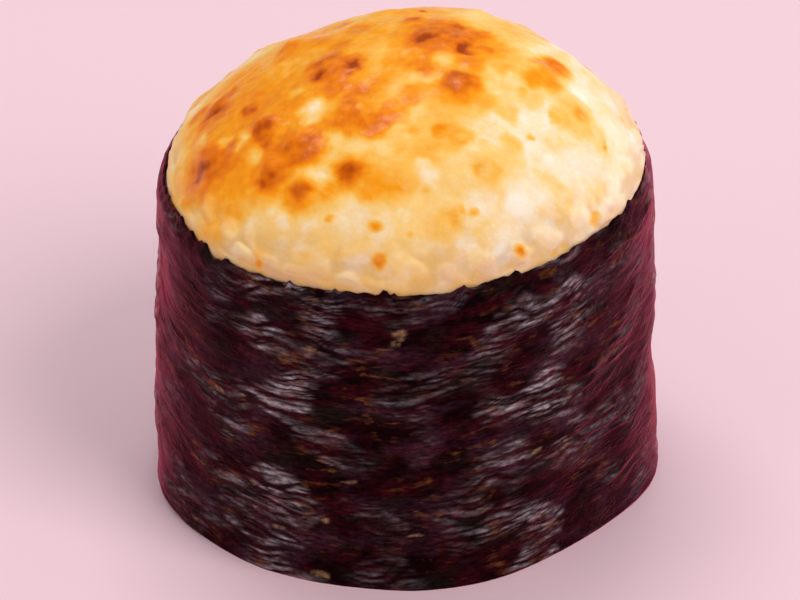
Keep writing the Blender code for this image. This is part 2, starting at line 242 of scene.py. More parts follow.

# What the heat painted on the cream, with a few marks of painted shade by the front rim and of painted
# highlight at the front right. Each mark is x and y from the axis and a radius, in millimetres, and how baked
# its middle is: 0.03 is pale, 0.15 cream, 0.27 yellow, 0.44 golden, 0.62 orange, 0.82 brown and 0.97
# scorched. Later marks lie over earlier ones.
GOLDEN_AREAS = (
    (-17.8, -5.8, 4.2, 0.56), (-14.6, -9.6, 4.2, 0.50), (-16.5, 0.4, 4.2, 0.56), (-14.4, 4.6, 4.0, 0.46),
    (-12.8, -1.2, 4.8, 0.52), (-13.0, -5.4, 4.0, 0.54), (-10.2, -9.7, 3.6, 0.58), (-10.6, -4.3, 3.2, 0.54),
    (-6.6, -1.7, 5.0, 0.50), (-9.2, 4.9, 4.2, 0.44), (-3.9, 4.2, 4.4, 0.42), (-8.0, 9.6, 4.2, 0.38),
    (0.6, 9.4, 4.6, 0.40), (-3.8, -8.1, 3.6, 0.52), (1.4, -3.3, 3.8, 0.40), (3.2, 2.3, 4.8, 0.50),
    (4.5, -5.6, 3.6, 0.46), (7.6, 0.5, 3.2, 0.42), (9.2, 5.8, 3.4, 0.26), (-12.1, -12.0, 2.4, 0.50),
    (-9.2, -14.5, 2.1, 0.50), (-4.6, -13.8, 2.4, 0.52), (-1.1, -15.4, 1.9, 0.46), (-0.4, -13.2, 2.4, 0.30),
    (3.2, -10.6, 2.2, 0.34), (1.4, -12.3, 1.2, 0.32), (12.1, -1.8, 2.5, 0.38), (15.2, -4.4, 2.3, 0.28),
    (9.0, -1.8, 1.1, 0.34), (9.4, 5.5, 1.1, 0.28), (10.3, -4.6, 0.7, 0.40), (-15.3, -12.1, 0.9, 0.42),
    (-13.7, -13.7, 0.6, 0.28), (7.4, -13.6, 1.7, 0.28), (9.5, -10.5, 1.1, 0.26), (9.0, -7.4, 1.0, 0.30),
    (4.0, -17.6, 1.2, 0.30), (3.0, -18.4, 1.4, 0.24), (6.2, 2.6, 2.0, 0.58), (5.6, -1.2, 1.4, 0.46),
    (3.0, 4.2, 1.8, 0.54), (8.6, -4.9, 1.6, 0.20), (17.5, -4.0, 1.6, 0.18), (11.0, -0.6, 1.8, 0.26),
    (-20.1, -3.3, 1.1, 0.32), (-20.2, -5.5, 1.1, 0.30), (-7.5, -8.6, 2.5, 0.52), (-15.9, -11.5, 1.8, 0.46),
    (-18.6, -7.7, 1.6, 0.46), (-6.6, -14.8, 1.8, 0.44), (-2.5, -4.6, 1.8, 0.54), (-1.4, -1.7, 1.2, 0.46),
    (-1.3, -8.7, 1.4, 0.56), (-0.2, -7.6, 1.2, 0.46), (0.7, -4.0, 1.1, 0.42), (6.1, -2.5, 1.4, 0.56),
    (7.3, -7.1, 1.2, 0.34), (-14.6, -13.2, 1.2, 0.40), (-11.5, -10.4, 2.0, 0.58), (-2.8, -15.7, 1.4, 0.46),
    (9.7, -0.4, 0.7, 0.34), (8.4, -2.7, 0.7, 0.34), (13.9, -5.6, 1.4, 0.26), (9.6, -7.3, 1.4, 0.24),
    (8.6, -12.2, 1.4, 0.20), (17.4, -5.8, 1.2, 0.18), (13.9, -12.6, 1.4, 0.19), (17.0, -9.3, 1.4, 0.17),
    (11.2, -4.9, 1.4, 0.22), (2.7, -12.3, 1.2, 0.34), (4.1, -11.8, 1.1, 0.30), (-16.8, -12.2, 2.1, 0.37),
    # The marks at -0.4, -21.2 and 6.6, -20.2 darken the front rim partly as painted shade.
    (-18.2, -11.3, 1.2, 0.30), (-18.2, 3.1, 1.3, 0.60), (-19.0, -7.8, 1.0, 0.41), (-0.4, -21.2, 1.4, 0.22),
    (6.6, -20.2, 1.3, 0.20), (-6.0, -9.8, 1.0, 0.30),
)
BLOTCHES = (
    (-17.2, -6.9, 2.8, 0.72), (-15.8, -6.9, 1.4, 0.68), (-18.1, -6.8, 1.3, 0.80), (-17.8, -6.5, 1.0, 0.96),
    (-16.6, 0.9, 1.7, 0.74), (-16.7, 1.0, 0.9, 0.90), (-15.6, 2.8, 1.1, 0.72), (-13.6, -2.3, 0.8, 0.82),
    (-12.3, -6.1, 1.2, 0.84), (-12.3, -7.5, 0.9, 0.76), (-11.9, -11.9, 1.4, 0.78), (-12.1, -11.8, 0.7, 0.86),
    (-9.2, -14.2, 1.3, 0.74), (-9.3, -14.3, 0.7, 0.80), (-8.6, -10.2, 1.8, 0.76), (-9.5, -9.5, 1.3, 0.72),
    (-10.1, -9.9, 1.6, 0.68), (-5.0, -13.6, 1.2, 0.78), (-5.2, -13.6, 0.7, 0.86), (-4.6, -1.4, 1.7, 0.76),
    (-4.6, -1.4, 0.8, 1.00), (-7.3, -1.7, 1.4, 0.78), (-7.3, -1.7, 0.6, 0.92), (-7.3, 0.4, 1.4, 0.72),
    (-6.0, 0.5, 1.1, 0.68), (-6.1, -3.8, 1.9, 0.62), (-3.8, -5.2, 1.3, 0.60), (-5.3, -8.4, 1.5, 0.66),
    (-2.8, -10.0, 1.5, 0.64), (-1.7, -9.1, 1.2, 0.66), (-4.6, -6.6, 1.2, 0.62), (-1.2, -8.1, 0.8, 0.58),
    (-10.0, 5.4, 1.4, 0.56), (-10.7, 4.2, 0.9, 0.54), (-7.3, 4.9, 1.5, 0.54), (-3.8, 5.5, 1.5, 0.54),
    (-5.7, 2.7, 1.2, 0.56), (3.2, 1.4, 3.9, 0.66), (1.8, 1.4, 1.3, 0.84), (1.8, 1.4, 0.7, 0.98),
    (4.8, 3.9, 0.8, 0.78), (5.2, 0.0, 1.1, 0.84), (5.1, -0.1, 0.7, 0.98), (7.2, 0.2, 0.8, 0.64),
    (0.7, 5.7, 1.1, 0.76), (4.1, 2.2, 1.3, 0.74), (4.9, -5.8, 1.9, 0.64), (4.7, -5.0, 1.1, 0.78),
    (4.3, -5.9, 0.9, 0.84), (5.5, -5.0, 1.1, 0.72), (0.8, -6.7, 1.2, 0.56), (1.6, -3.2, 1.4, 0.60),
    (-0.1, -2.0, 1.1, 0.54), (11.7, -2.1, 1.4, 0.50), (12.8, 0.6, 1.8, 0.54), (12.9, -2.2, 1.2, 0.50),
    (13.6, 1.8, 1.5, 0.64), (15.6, -4.0, 0.9, 0.48), (13.2, -6.1, 0.6, 0.36), (3.1, -10.4, 0.9, 0.50),
    (5.0, -10.9, 1.2, 0.42), (0.8, -10.3, 0.7, 0.40), (6.3, -13.9, 0.5, 0.42), (8.0, -13.3, 0.6, 0.34),
    (4.2, -17.5, 0.6, 0.36), (5.1, -16.9, 0.4, 0.40), (6.3, -16.7, 0.4, 0.34), (1.9, -15.9, 0.5, 0.30),
    (10.2, -17.7, 0.6, 0.60), (16.6, -11.6, 0.8, 0.40), (17.9, -5.3, 0.4, 0.56), (17.8, -4.8, 0.4, 0.30),
    (13.4, -15.8, 0.4, 0.30), (14.1, -15.0, 0.7, 0.20), (19.5, 1.6, 0.6, 0.20), (7.2, -11.6, 0.7, 0.20),
    (11.2, -8.8, 0.4, 0.42), (-2.6, -18.5, 0.6, 0.58), (-2.0, -20.4, 0.6, 0.60), (-2.0, -20.2, 0.5, 0.50),
    (-12.6, -17.2, 0.6, 0.54), (-12.7, -16.7, 0.5, 0.34), (-6.5, -17.0, 0.4, 0.40), (-8.6, -18.7, 0.5, 0.24),
    (-6.5, -18.9, 0.9, 0.20), (0.6, -19.0, 0.4, 0.30), (6.7, -18.8, 0.7, 0.14),
)
# Pale cream between the blisters. The palest marks, at levels 0.02 and 0.04 on the front right, are partly a
# painted highlight where the moist cream shines.
PALE_AND_HIGHLIGHT_MARKS = (
    (-8.0, -5.8, 1.3, 0.08), (-8.1, -7.1, 0.8, 0.16), (-14.2, -5.9, 0.9, 0.20), (-14.6, -6.9, 0.6, 0.26),
    (-4.1, -11.5, 1.3, 0.16), (-1.8, -12.2, 1.2, 0.16), (-5.9, -10.4, 0.9, 0.18), (-9.6, -3.0, 0.8, 0.28),
    (-7.4, -13.5, 1.1, 0.12), (-13.3, -8.7, 1.0, 0.26), (-17.8, -2.2, 0.9, 0.26), (-15.7, -4.8, 0.7, 0.30),
    (0.9, -4.7, 1.0, 0.20), (2.3, -5.0, 0.7, 0.24), (3.6, -2.0, 1.0, 0.20), (9.5, -3.2, 0.7, 0.14),
    (8.6, -5.4, 0.6, 0.13), (10.0, -15.1, 1.3, 0.02), (12.9, -10.3, 1.2, 0.04), (10.7, -7.4, 1.0, 0.05),
    (7.9, -10.1, 0.8, 0.11), (2.3, -14.6, 1.0, 0.07), (1.7, -13.6, 0.8, 0.11), (13.9, -12.9, 1.3, 0.13),
    (12.7, -15.0, 0.8, 0.04), (8.6, -18.5, 0.8, 0.02), (15.2, -13.7, 0.7, 0.09), (-10.6, -16.0, 0.9, 0.09),
    (-12.7, -15.1, 0.6, 0.13), (-4.6, -19.5, 0.7, 0.18), (1.4, -17.4, 0.9, 0.17), (-4.7, -20.2, 0.6, 0.07),
    (-9.2, -17.9, 0.7, 0.11), (5.4, -18.9, 0.8, 0.07), (16.5, -7.8, 2.2, 0.07), (18.6, -2.4, 2.3, 0.06),
    (18.8, -7.6, 2.0, 0.07), (-7.5, -10.5, 0.4, 0.46), (-3.6, -14.0, 0.5, 0.48), (5.5, -7.0, 0.4, 0.50),
    (-3.9, -7.6, 0.4, 0.42), (15.6, -4.2, 0.4, 0.36), (7.3, -13.5, 0.7, 0.22), (5.0, -10.9, 0.6, 0.28),
)
UNBAKED_LEVEL = 0.15
UNBAKED_CLOUDS = ((0.09, 2.6 * MM, 29), (0.03, 1.2 * MM, 30))
PALER_RIGHT = 0.06
PALER_FROM = (3 * MM, 12 * MM)
MOTTLE = ((0.20, 0.9 * MM, 27), (0.08, 0.4 * MM, 28))
MARK_PUSHES = ((0.50 * MM, 1.7 * MM, (21, 22, 23)), (0.18 * MM, 0.6 * MM, (24, 25, 26)))
MARK_EDGE = (0.22, 1.40)  # in radii: up to where a mark keeps its full level, and where it ends

# Further marks at the back, where the photograph's view ends, in millimetres.
BACK_MARKS = 70
BACK_MARK_SEED = 12
BACK_MARK_ANGLES = (4 * DEGREE, 176 * DEGREE)
BACK_MARK_REACH = 20.6
BACK_MARK_FROM = 7.5
BACK_MARK_SIZES = (0.5, 3.0)  # the smallest, and what the largest has more
BACK_MARK_LEVELS = (0.30, 0.5)  # of the largest, and what the smallest may have more
BACK_PALER_RIGHT = 0.16

# The rice, as the solid has it, with further grains behind the first layer.
RICE_WALL = 0.4 * MM
PUCK_BOTTOM = 1.5 * MM
RICE_GAP = 0.3 * MM
RICE_SEGMENTS = 120
RICE_WALL_RINGS = 16
RICE_END_RINGS = 11
GRAIN_SEED = 41
GRAIN_MARGIN = 0.2 * MM
GRAIN_WALL_GAP = 0.08 * MM
GOLDEN_ANGLE = 137.508 * DEGREE
MIDDLE_GRAIN_SINK = 0.4 * MM
GRAIN_LAYERS = (  # first number, grains, lowest and highest lift, and how far a grain may roll and tilt
    (1.0, 99, -0.3 * MM, 0.7 * MM, 0.5, 0.16),
    (0.5, 120, 1.0 * MM, 1.6 * MM, 0.6, 0.2),
)
BY_WALL = 0.8  # share of the radius from which grains lie along the wall
WALL_GRAIN_SWING = 0.25
GRAIN_RINGS = 9
GRAIN_SIDES = 10
GRAIN_BLUNTNESS = 2.6
GRAIN_FULLNESS = 0.62
GRAIN_BEND = 0.07  # share of the length
GRAIN_BEND_MIDDLE = 0.4
GRAIN_SIZES = (0.92, 1.06)

# The stage. A light has a name, a power in the sidebar, a size, a bearing that turns from the front
# towards the right, an elevation and a distance.
FLOOR_HALF = 2.5
AIR_TINT = (1.0, 0.97, 0.96, 1.0)
LOW_LIGHT = 11 * DEGREE
LIGHTS = (
    ("key_light", "key_power", (0.4, 0.5), 50 * DEGREE, 48 * DEGREE, 0.8),
    ("left_light", "left_power", (0.6, 0.24), -60 * DEGREE, LOW_LIGHT, 0.75),
    ("right_light", "right_power", (0.6, 0.24), 115 * DEGREE, LOW_LIGHT, 0.75),
    ("back_light", "back_power", (0.6, 0.24), -115 * DEGREE, LOW_LIGHT, 0.75),
    ("top_light", "top_power", (0.5, 0.5), 195 * DEGREE, 62 * DEGREE, 0.8),
)
TARGET_HEIGHT = 15.51 * MM
CAMERA_SENSOR = 36.0
CAMERA_SHIFT = (-0.00496, 0.00665)
CAMERA_CLIP = (0.1, 20.0)


def length(description, default):
    """A length that the sidebar shows in the scene's unit."""
    return FloatProperty(description=description, default=default, subtype="DISTANCE", unit="LENGTH",
                         precision=5)


def colour(description, default):
    """A linear colour."""
    return FloatVectorProperty(description=description, default=default, subtype="COLOR", size=3, min=0.0,
                               max=1.0)


def power(description, default):
    """A light's power in watts."""
    return FloatProperty(description=description, default=default, unit="POWER")


class SushiSizes(bpy.types.PropertyGroup):
    wrinkle_height: length("Height of the sheet's crinkles", 0.24 * MM)
    wrinkle_length: length("How far a crinkle runs along the strip", 6.4 * MM)
    wrinkle_width: length("Distance between crinkles, up the strip", 1.35 * MM)
    torn_edge: length("Height of the torn bits along the rim", 0.60 * MM)
    blister_height: length("Height of the blisters that the oven raised", 0.30 * MM)
    lump_height: length("Height of the dome's soft lumps", 0.24 * MM)
    shred_height: length("Height of the shreds of filling near the rim", 0.32 * MM)
    grain_length: length("Length of a cooked grain", 6.2 * MM)
    grain_width: length("Width of a cooked grain", 3.0 * MM)
    grain_depth: length("Depth of a cooked grain", 2.7 * MM)


class SushiColours(bpy.types.PropertyGroup):
    seaweed_dark: colour("Darkest tone of the toasted sheet", (0.003, 0.0006, 0.0008))
    seaweed_mid: colour("Maroon tone of the toasted sheet", (0.027, 0.0024, 0.0042))
    seaweed_green: colour("Greenish black tone of the sheet", (0.007, 0.006, 0.004))
    # Painted sheen: a grey, warmer in places, that stands in for the lights' reflection on the crinkles'
    # upward sides.
    seaweed_painted_sheen: colour("Satin grey where the creases are rubbed", (0.350, 0.290, 0.320))
    seaweed_painted_sheen_warm: colour("Warmer tint in the satin grey", (0.260, 0.150, 0.150))
    seaweed_mauve: colour("Dull mauve tone in patches", (0.046, 0.015, 0.028))
    seaweed_fleck: colour("Rusty flecks in the sheet", (0.130, 0.042, 0.014))
    seaweed_flake: colour("Straw-coloured flakes in the sheet", (0.285, 0.170, 0.085))
    pale: colour("Topping that stayed pale and moist", (0.950, 0.840, 0.680))
    cream: colour("Unbrowned topping", (0.950, 0.620, 0.230))
    rosy: colour("Rosy shreds near the rim", (0.820, 0.520, 0.340))
    # Painted shade: a tan in the gaps between the shreds and along the rim, where shade falls.
    tan: colour("Gaps between the shreds", (0.640, 0.360, 0.140))
    yellow: colour("First tint of browning", (0.950, 0.500, 0.090))
    golden: colour("Golden topping", (0.940, 0.340, 0.010))
    orange: colour("Well baked topping", (0.830, 0.200, 0.004))
    brown: colour("Browned topping", (0.580, 0.100, 0.002))
    scorched: colour("Darkest spots of the topping", (0.360, 0.045, 0.002))
    rice: colour("Cooked rice", (0.830, 0.800, 0.720))
    floor: colour("Pale floor", (0.870, 0.600, 0.670))


class SushiStudio(bpy.types.PropertyGroup):
    key_power: power("Soft light from the right", 3.7)
    right_power: power("Low light behind right", 1.4)
    back_power: power("Low light behind left", 0.4)
    left_power: power("Low wide soft light at the left", 1.35)
    top_power: power("Soft light from above", 3.1)
    sky_strength: FloatProperty(description="Even light from all around", default=0.22)
    camera_distance: length("From the camera to what it looks at", 1551.08 * MM)
    camera_lens: FloatProperty(description="Focal length", default=781.7, unit="CAMERA")
    camera_elevation: FloatProperty(description="Angle above the horizon",
                                    default=31.84 * DEGREE, subtype="ANGLE", unit="ROTATION")


# ---------------------------------------------------------------------------------------------------------
# Patterns


GRADIENTS = np.array(
    [(1, 1, 0), (-1, 1, 0), (1, -1, 0), (-1, -1, 0), (1, 0, 1), (-1, 0, 1),
     (1, 0, -1), (-1, 0, -1), (0, 1, 1), (0, -1, 1), (0, 1, -1), (0, -1, -1)],
    dtype=float,
)
CORNER_PRIMES = (73856093, 19349663, 83492791)
SEED_STEP = 40503
MIXER = 1274126177
WORD = 0xFFFFFFFF


def ease(value, low, high):
    """0 up to low and 1 from high on: t squared times (3 - 2t) between, t being the share of the way."""
    share = np.clip((value - low) / (high - low), 0.0, 1.0)
    return share * share * (3.0 - 2.0 * share)


def hump(away):
    """Half a cosine: 1 where away is 0, and 0 from 1 on."""
    return 0.5 * (1 + np.cos(math.pi * np.minimum(away, 1.0)))


def turn_from(middle, angle):
    """The turn from one angle to another, the short way round."""
    return (angle - middle + math.pi) % TURN - math.pi


def corner_direction(corner, seed):
    """The direction that belongs to a lattice corner: its whole-number place, multiplied and mixed."""
    x, y, z = (corner[..., side] * prime for side, prime in enumerate(CORNER_PRIMES))
    mixed = (x ^ y ^ z ^ (seed + 1) * SEED_STEP) & WORD
    mixed = ((mixed ^ (mixed >> 13)) * MIXER) & WORD
    return GRADIENTS[(mixed ^ (mixed >> 16)) % len(GRADIENTS)]


def noise(points, seed):
    """Gradient noise from about -1 to 1: each of the eight corners round a point pulls the value along its
    own direction, and a smooth fade blends the eight pulls."""
    cell = np.floor(points).astype(np.int64)
    inside = points - cell
    fade = inside**3 * (inside * (inside * 6 - 15) + 10)
    total = np.zeros(points.shape[:-1])
    for corner in np.ndindex(2, 2, 2):
        pull = np.sum(corner_direction(cell + corner, seed) * (inside - corner), axis=-1)
        total += pull * np.prod(np.where(corner, fade, 1 - fade), axis=-1)
    return total


def layered(points, layers):
    """The sum of gradient noises, each with its height, the size of its cells and its seed."""
    return sum(height * noise(points / cell, seed) for height, cell, seed in layers)


def sheet_noise(along, up, cell_length, cell_height, seed):
    """Gradient noise on the flat strip, in cells of a length and a height."""
    along, up = np.broadcast_arrays(along / cell_length, up / cell_height)
    return noise(np.stack((along, up, np.zeros_like(along)), axis=-1), seed)


# ---------------------------------------------------------------------------------------------------------
# Shapes


def round_points(angle, radius, z):
    """Points from an angle, a distance from the band's axis and a height, the axis being at X and Y 0."""
    return np.stack(np.broadcast_arrays(radius * np.cos(angle), radius * np.sin(angle), z), axis=-1)


def rim_height(angle):
    """The rim's height: a level cut that leans, with small waves."""
    waves = sum(size * np.cos(count * angle + start) for size, count, start in RIM_WAVES)
    return BAND_HEIGHT + RIM_LEAN * np.cos(angle - RIM_LEAN_ANGLE) + waves


def foot_unevenness(angle):
    """How far the foot stands out from an even oval: it is shifted, and flat at the front right."""
    shift = FOOT_SHIFT[0] * np.cos(angle) + FOOT_SHIFT[1] * np.sin(angle)
    return shift - FOOT_FLAT * hump(np.abs(turn_from(FOOT_FLAT_ANGLE, angle)) / FOOT_FLAT_REACH)


def outer_radius(angle, z):
    """Distance from the axis to the band's outer face: a cone with an uneven plan and soft waves."""
    up = z / BAND_HEIGHT
    cone = FOOT_RADIUS + (RIM_RADIUS - FOOT_RADIUS) * up
    oval = OVAL * np.cos(2 * (angle - OVAL_ANGLE))
    three_cornered = up * TRIANGLE_AT_RIM * np.cos(3 * (angle - TRIANGLE_ANGLE))
    waves = sum(
        size * np.cos(count * angle + TURN * rise * up + start) for size, count, rise, start in WALL_WAVES
    )
    lip = LIP_LEAN * ease(z, BAND_HEIGHT - LIP_HEIGHT, BAND_HEIGHT)
    return cone * (1 + oval + three_cornered) + (1 - up) * foot_unevenness(angle) + waves - lip


def inner_radius(angle, z):
    """Distance from the axis to the band's inner face."""
    return outer_radius(angle, z) - SHEET_THICKNESS


def lap_rise(turned):
    """How far the strip has climbed onto its own start, by the angle that it has gone round."""
    return (SHEET_THICKNESS + LAP_GAP) * ease(turned, TURN - LAP_RAMP, TURN)


def band_middle():
    """Where the band's axis stands from the origin: the solids have their footprint's middle there."""
    turned = np.linspace(0, STRIP_TURN, PLAN_STEPS[0])[:, None]
    angle = STRIP_START + turned
    radius = outer_radius(angle, np.linspace(0, BAND_HEIGHT, PLAN_STEPS[1])) + lap_rise(turned)
    plan = round_points(angle, radius, 0.0)
    return -0.5 * (plan.min(axis=(0, 1)) + plan.max(axis=(0, 1)))


AXIS = band_middle()


def ring_quads(rings, sides):
    """Quads between neighbouring rings of vertices. They turn anticlockwise as rings and then sides go on."""
    start = sides * np.arange(rings - 1)[:, None]
    here = np.arange(sides)
    after = np.roll(here, -1)
    corners = (start + here, start + sides + here, start + sides + after, start + after)
    return np.stack(corners, axis=-1).reshape(-1, 4)


def closed_faces(rings, sides):
    """Faces of a closed body: quads between its rings of vertices, and triangles from its first and its last
    ring to two more vertices, which come after the rings."""
    here = np.arange(sides)
    after = np.roll(here, -1)
    last = (rings - 1) * sides
    first_end = np.full(sides, rings * sides)
    start = np.stack((here, after, first_end), axis=-1)
    end = np.stack((last + after, last + here, first_end + 1), axis=-1)
    return ring_quads(rings, sides), np.concatenate((start, end))


def inner_rings(edge, count):
    """Rings on a flat end of a body round the axis, from near its edge to near its middle."""
    share = 1 - np.linspace(0, 1, count + 2)[1:-1, None, None]
    return edge * np.concatenate((share, share, np.ones_like(share)), axis=-1)


def mesh_object(name, points, face_kinds, material):
    """An object at the origin, with smooth faces: an array of faces for each number of corners."""
    faces = []
    for kind in face_kinds:
        faces += kind.tolist()
    mesh = bpy.data.meshes.new(name)
    mesh.from_pydata(points.reshape(-1, 3), [], faces)
    mesh.validate()
    mesh.shade_smooth()
    mesh.materials.append(material)
    made = bpy.data.objects.new(name, mesh)
    bpy.context.scene.collection.objects.link(made)
    return made


def add_attribute(made, name, values):
    """One number for each vertex, which the material reads by its name."""
    attribute = made.data.attributes.new(name, "FLOAT", "POINT")
    attribute.data.foreach_set("value", np.ascontiguousarray(values, dtype=np.float32).ravel())


def add_map(made, name, across, up):
    """A UV map from two numbers for each vertex."""
    layer = made.data.uv_layers.new(name=name)
    corner_vertex = np.empty(len(made.data.loops), dtype=np.int32)
    made.data.loops.foreach_get("vertex_index", corner_vertex)
    flat = np.stack((across.ravel(), up.ravel()), axis=-1)[corner_vertex]
    layer.data.foreach_set("uv", flat.astype(np.float32).ravel())


# ---------------------------------------------------------------------------------------------------------
# Seaweed


def creased(along, up, cell_length, cell_height, seed):
    """The size of gradient noise to the power 0.8, a little rounded off at 0."""
    return (sheet_noise(along, up, cell_length, cell_height, seed) ** 2 + CREASE_ROUNDING) ** 0.4


def pillows(along, up, cell_length, cell_height, seed):
    """Rounded humps between creases. They lean down, so that each has a long side that faces up and a short
    steep one below."""
    lean = HUMP_LEAN * cell_height * creased(along, up, cell_length, cell_height, seed)
    return creased(along, up + lean, cell_length, cell_height, seed)


def wrinkle_patches(along, up):
    """Where the sheet is well crinkled, from 0 to 1: patches a few millimetres across."""
    return ease(1.5 * sheet_noise(along, up, *CRINKLED_PATCH), -0.5, 0.5)


def wrinkle_relief(along, up, sizes):
    """How far the sheet stands out: broad dents, and crinkles in three sizes that lie along the strip, strong
    in some patches and faint in others. The crinkles sway up and down with noise."""
    swayed = up + sum(reach * sheet_noise(along, up, *cell) for reach, *cell in CRINKLE_SWAYS)
    patch = wrinkle_patches(along, up)
    relief = DENT_SHARE * sheet_noise(along, swayed, *DENT) - CRINKLE_MIDDLE
    for run, width, height, patch_height, seed in CRINKLES:
        humps = pillows(along, swayed, run * sizes.wrinkle_length, width * sizes.wrinkle_width, seed)
        relief = relief + (height + patch_height * patch) * humps
    return np.maximum(sizes.wrinkle_height * relief, -DEEPEST_CRINKLE)


def painted_sheen_band_share(angle):
    """How strong the painted sheen is by place round the band: half a cosine over each of its bands."""
    share = np.full(angle.shape, PAINTED_SHEEN_ELSEWHERE)
    for middle, reach in PAINTED_SHEEN_BANDS:
        share = np.maximum(share, hump(np.abs(turn_from(middle, angle)) / reach))
    return share


def gloss_and_painted_sheen_share(angle, along, up, sizes):
    """How much painted sheen and gloss the sheet gets, from 0 to 1: on the sides of the crinkles that face
    up, where the lights would shine, in the crinkled patches, most of all in the painted sheen's bands."""
    below = wrinkle_relief(along, up - SLOPE_STEP, sizes)
    higher = wrinkle_relief(along, up + SLOPE_STEP, sizes)
    facing = ease((below - higher) / (2 * SLOPE_STEP), *SHEEN_SLOPES)
    sheen_streaks = ease(STREAK_SHARE + STREAK_CONTRAST * sheet_noise(along, up, *SHEEN_STREAK), 0, 1)
    sheen_band = painted_sheen_band_share(angle)
    patch = ease(wrinkle_patches(along, up) + SHEEN_BANDS_IN_PATCHES * sheen_band, *SHEEN_PATCHES)
    return facing * sheen_streaks * patch * (SHEEN_LEAST + (1 - SHEEN_LEAST) * sheen_band)


def flake_share(angle, along, z):
    """1 on the straw-coloured flakes: ovals whose outlines noise has pushed about, a few placed and the rest
    drawn from a seed."""
    draw = np.random.default_rng(FLAKE_SEED)
    loose = np.stack([draw.uniform(*reach, LOOSE_FLAKES) for reach in LOOSE_FLAKE_RANGES], axis=-1)
    push_along, push_up = (reach * sheet_noise(along, z, *cell) for reach, *cell in FLAKE_PUSHES)
    share = np.zeros(z.shape)
    for middle, level, half_length, half_height in (*FLAKES, *loose):
        side = turn_from(middle, angle) * FOOT_RADIUS + push_along
        reach = np.hypot(side / half_length, (z - level + push_up) / half_height)
        share = np.maximum(share, 1 - ease(reach, *FLAKE_EDGE))
    return share


def torn_rim(angle, along, sizes):
    """How far the rim stands above its even cut: frayed all along, with a few torn bits."""
    line = np.stack((along, np.zeros_like(along), np.zeros_like(along)), axis=-1)
    bits = TORN_STEEPNESS * np.maximum(layered(line, TORN_NOISE) - TORN_FROM, 0)
    stand = sizes.torn_edge * (layered(line, FRAY) + bits)
    for middle, height, half_width in RIM_BITS:
        side = turn_from(middle, angle) * RIM_RADIUS / half_width
        stand = stand + height * np.exp(-(side**4))
    return stand


def seaweed_section():
    """The strip's cross-section as it goes round: up the outer face, over the rim, down the inner face and
    under the foot. Two shares for each vertex: height, and depth in the sheet."""
    outer = np.linspace(0, 1, OUTER_ROWS)
    inner = 1 - np.linspace(0, 1, INNER_ROWS) ** INNER_CROWDING
    height = np.concatenate((outer, np.ones(len(RIM_DEPTHS)), inner, np.zeros(len(FOOT_DEPTHS))))
    depth = np.concatenate((np.zeros(OUTER_ROWS), RIM_DEPTHS, np.ones(INNER_ROWS), FOOT_DEPTHS))
    return height, depth


def make_seaweed(sizes, material):
    """The strip, rolled once round with its lap: columns along it, rows round its cross-section."""
    height, depth = seaweed_section()
    turned = np.linspace(0, STRIP_TURN, STRIP_COLUMNS)[:, None]
    angle = STRIP_START + turned
    along = FOOT_RADIUS * turned
    torn = torn_rim(angle, along, sizes)
    rim = rim_height(angle) + torn
    z = height * rim_height(angle) + torn * ease(height * BAND_HEIGHT, BAND_HEIGHT - TORN_REACH, BAND_HEIGHT)
    shown = ease(turned, LAP - HIDDEN_FADE, LAP)
    by_foot = FOOT_RELIEF + (1 - FOOT_RELIEF) * ease(z, 0, FOOT_CALM_HEIGHT)
    by_rim = RIM_RELIEF + (1 - RIM_RELIEF) * ease(rim - z, 0, RIM_CALM_HEIGHT)
    relief = wrinkle_relief(along, z, sizes) * shown * by_foot * by_rim
    thickness = SHEET_THICKNESS * (1 - LIP_TAPER * ease(z - rim, -LIP_TAPER_HEIGHT, 0))
    inside = outer_radius(angle, z) + lap_rise(turned) - SHEET_THICKNESS
    rounding = RIM_ROUNDING * np.sin(math.pi * depth) * (height == 1)
    points = AXIS + round_points(angle, inside + (1 - depth) * (thickness + relief), z + rounding)
    section = np.arange(len(height))
    end = section[::-1] + (STRIP_COLUMNS - 1) * len(height)
    faces = (ring_quads(STRIP_COLUMNS, len(height)), np.stack((section, end)))
    made = mesh_object("nori_sheet", points, faces, material)
    steps = np.hypot(np.diff(height) * BAND_HEIGHT, np.diff(depth) * SHEET_THICKNESS)
    round_section = np.concatenate(((0,), np.cumsum(steps)))
    add_map(made, "strip", *np.broadcast_arrays(along, round_section))
    outside = depth < 0.5
    # One attribute carries the painted sheen for the base colour and the real gloss for roughness and coat.
    add_attribute(made, "satin", gloss_and_painted_sheen_share(angle, along, z, sizes) * shown * outside)
    add_attribute(made, "flake", flake_share(angle, along, z) * shown * outside)
    return made


# ---------------------------------------------------------------------------------------------------------
# Topping


def filling_radius(angle, z):
    """Distance from the axis to the side of what fills the band."""
    return inner_radius(angle, z) - FILLING_CLEARANCE


def dome_point(angle, share):
    """A point of the dome: share runs from 0 at the crown to 1 at the rim, evenly along the profile.

    Height is DOME_HEIGHT times (1 - reach squared) to a power, over a base that follows the rim.
    """
    reach = np.sin(0.5 * math.pi * share)
    radius = filling_radius(angle, BAND_HEIGHT - EDGE_DROP) * reach
    power_here = DOME_FALL - DOME_FALL_SWING * np.cos(angle - DOME_FULL_ANGLE) * reach
    base = BAND_HEIGHT + (rim_height(angle) - BAND_HEIGHT) * reach - EDGE_DROP
    lean = 1 + DOME_LEAN * radius * np.cos(angle) / RIM_RADIUS
    crown = DOME_HEIGHT * np.maximum(1 - reach * reach, 0.0) ** power_here * lean
    return round_points(angle, radius, base + crown)


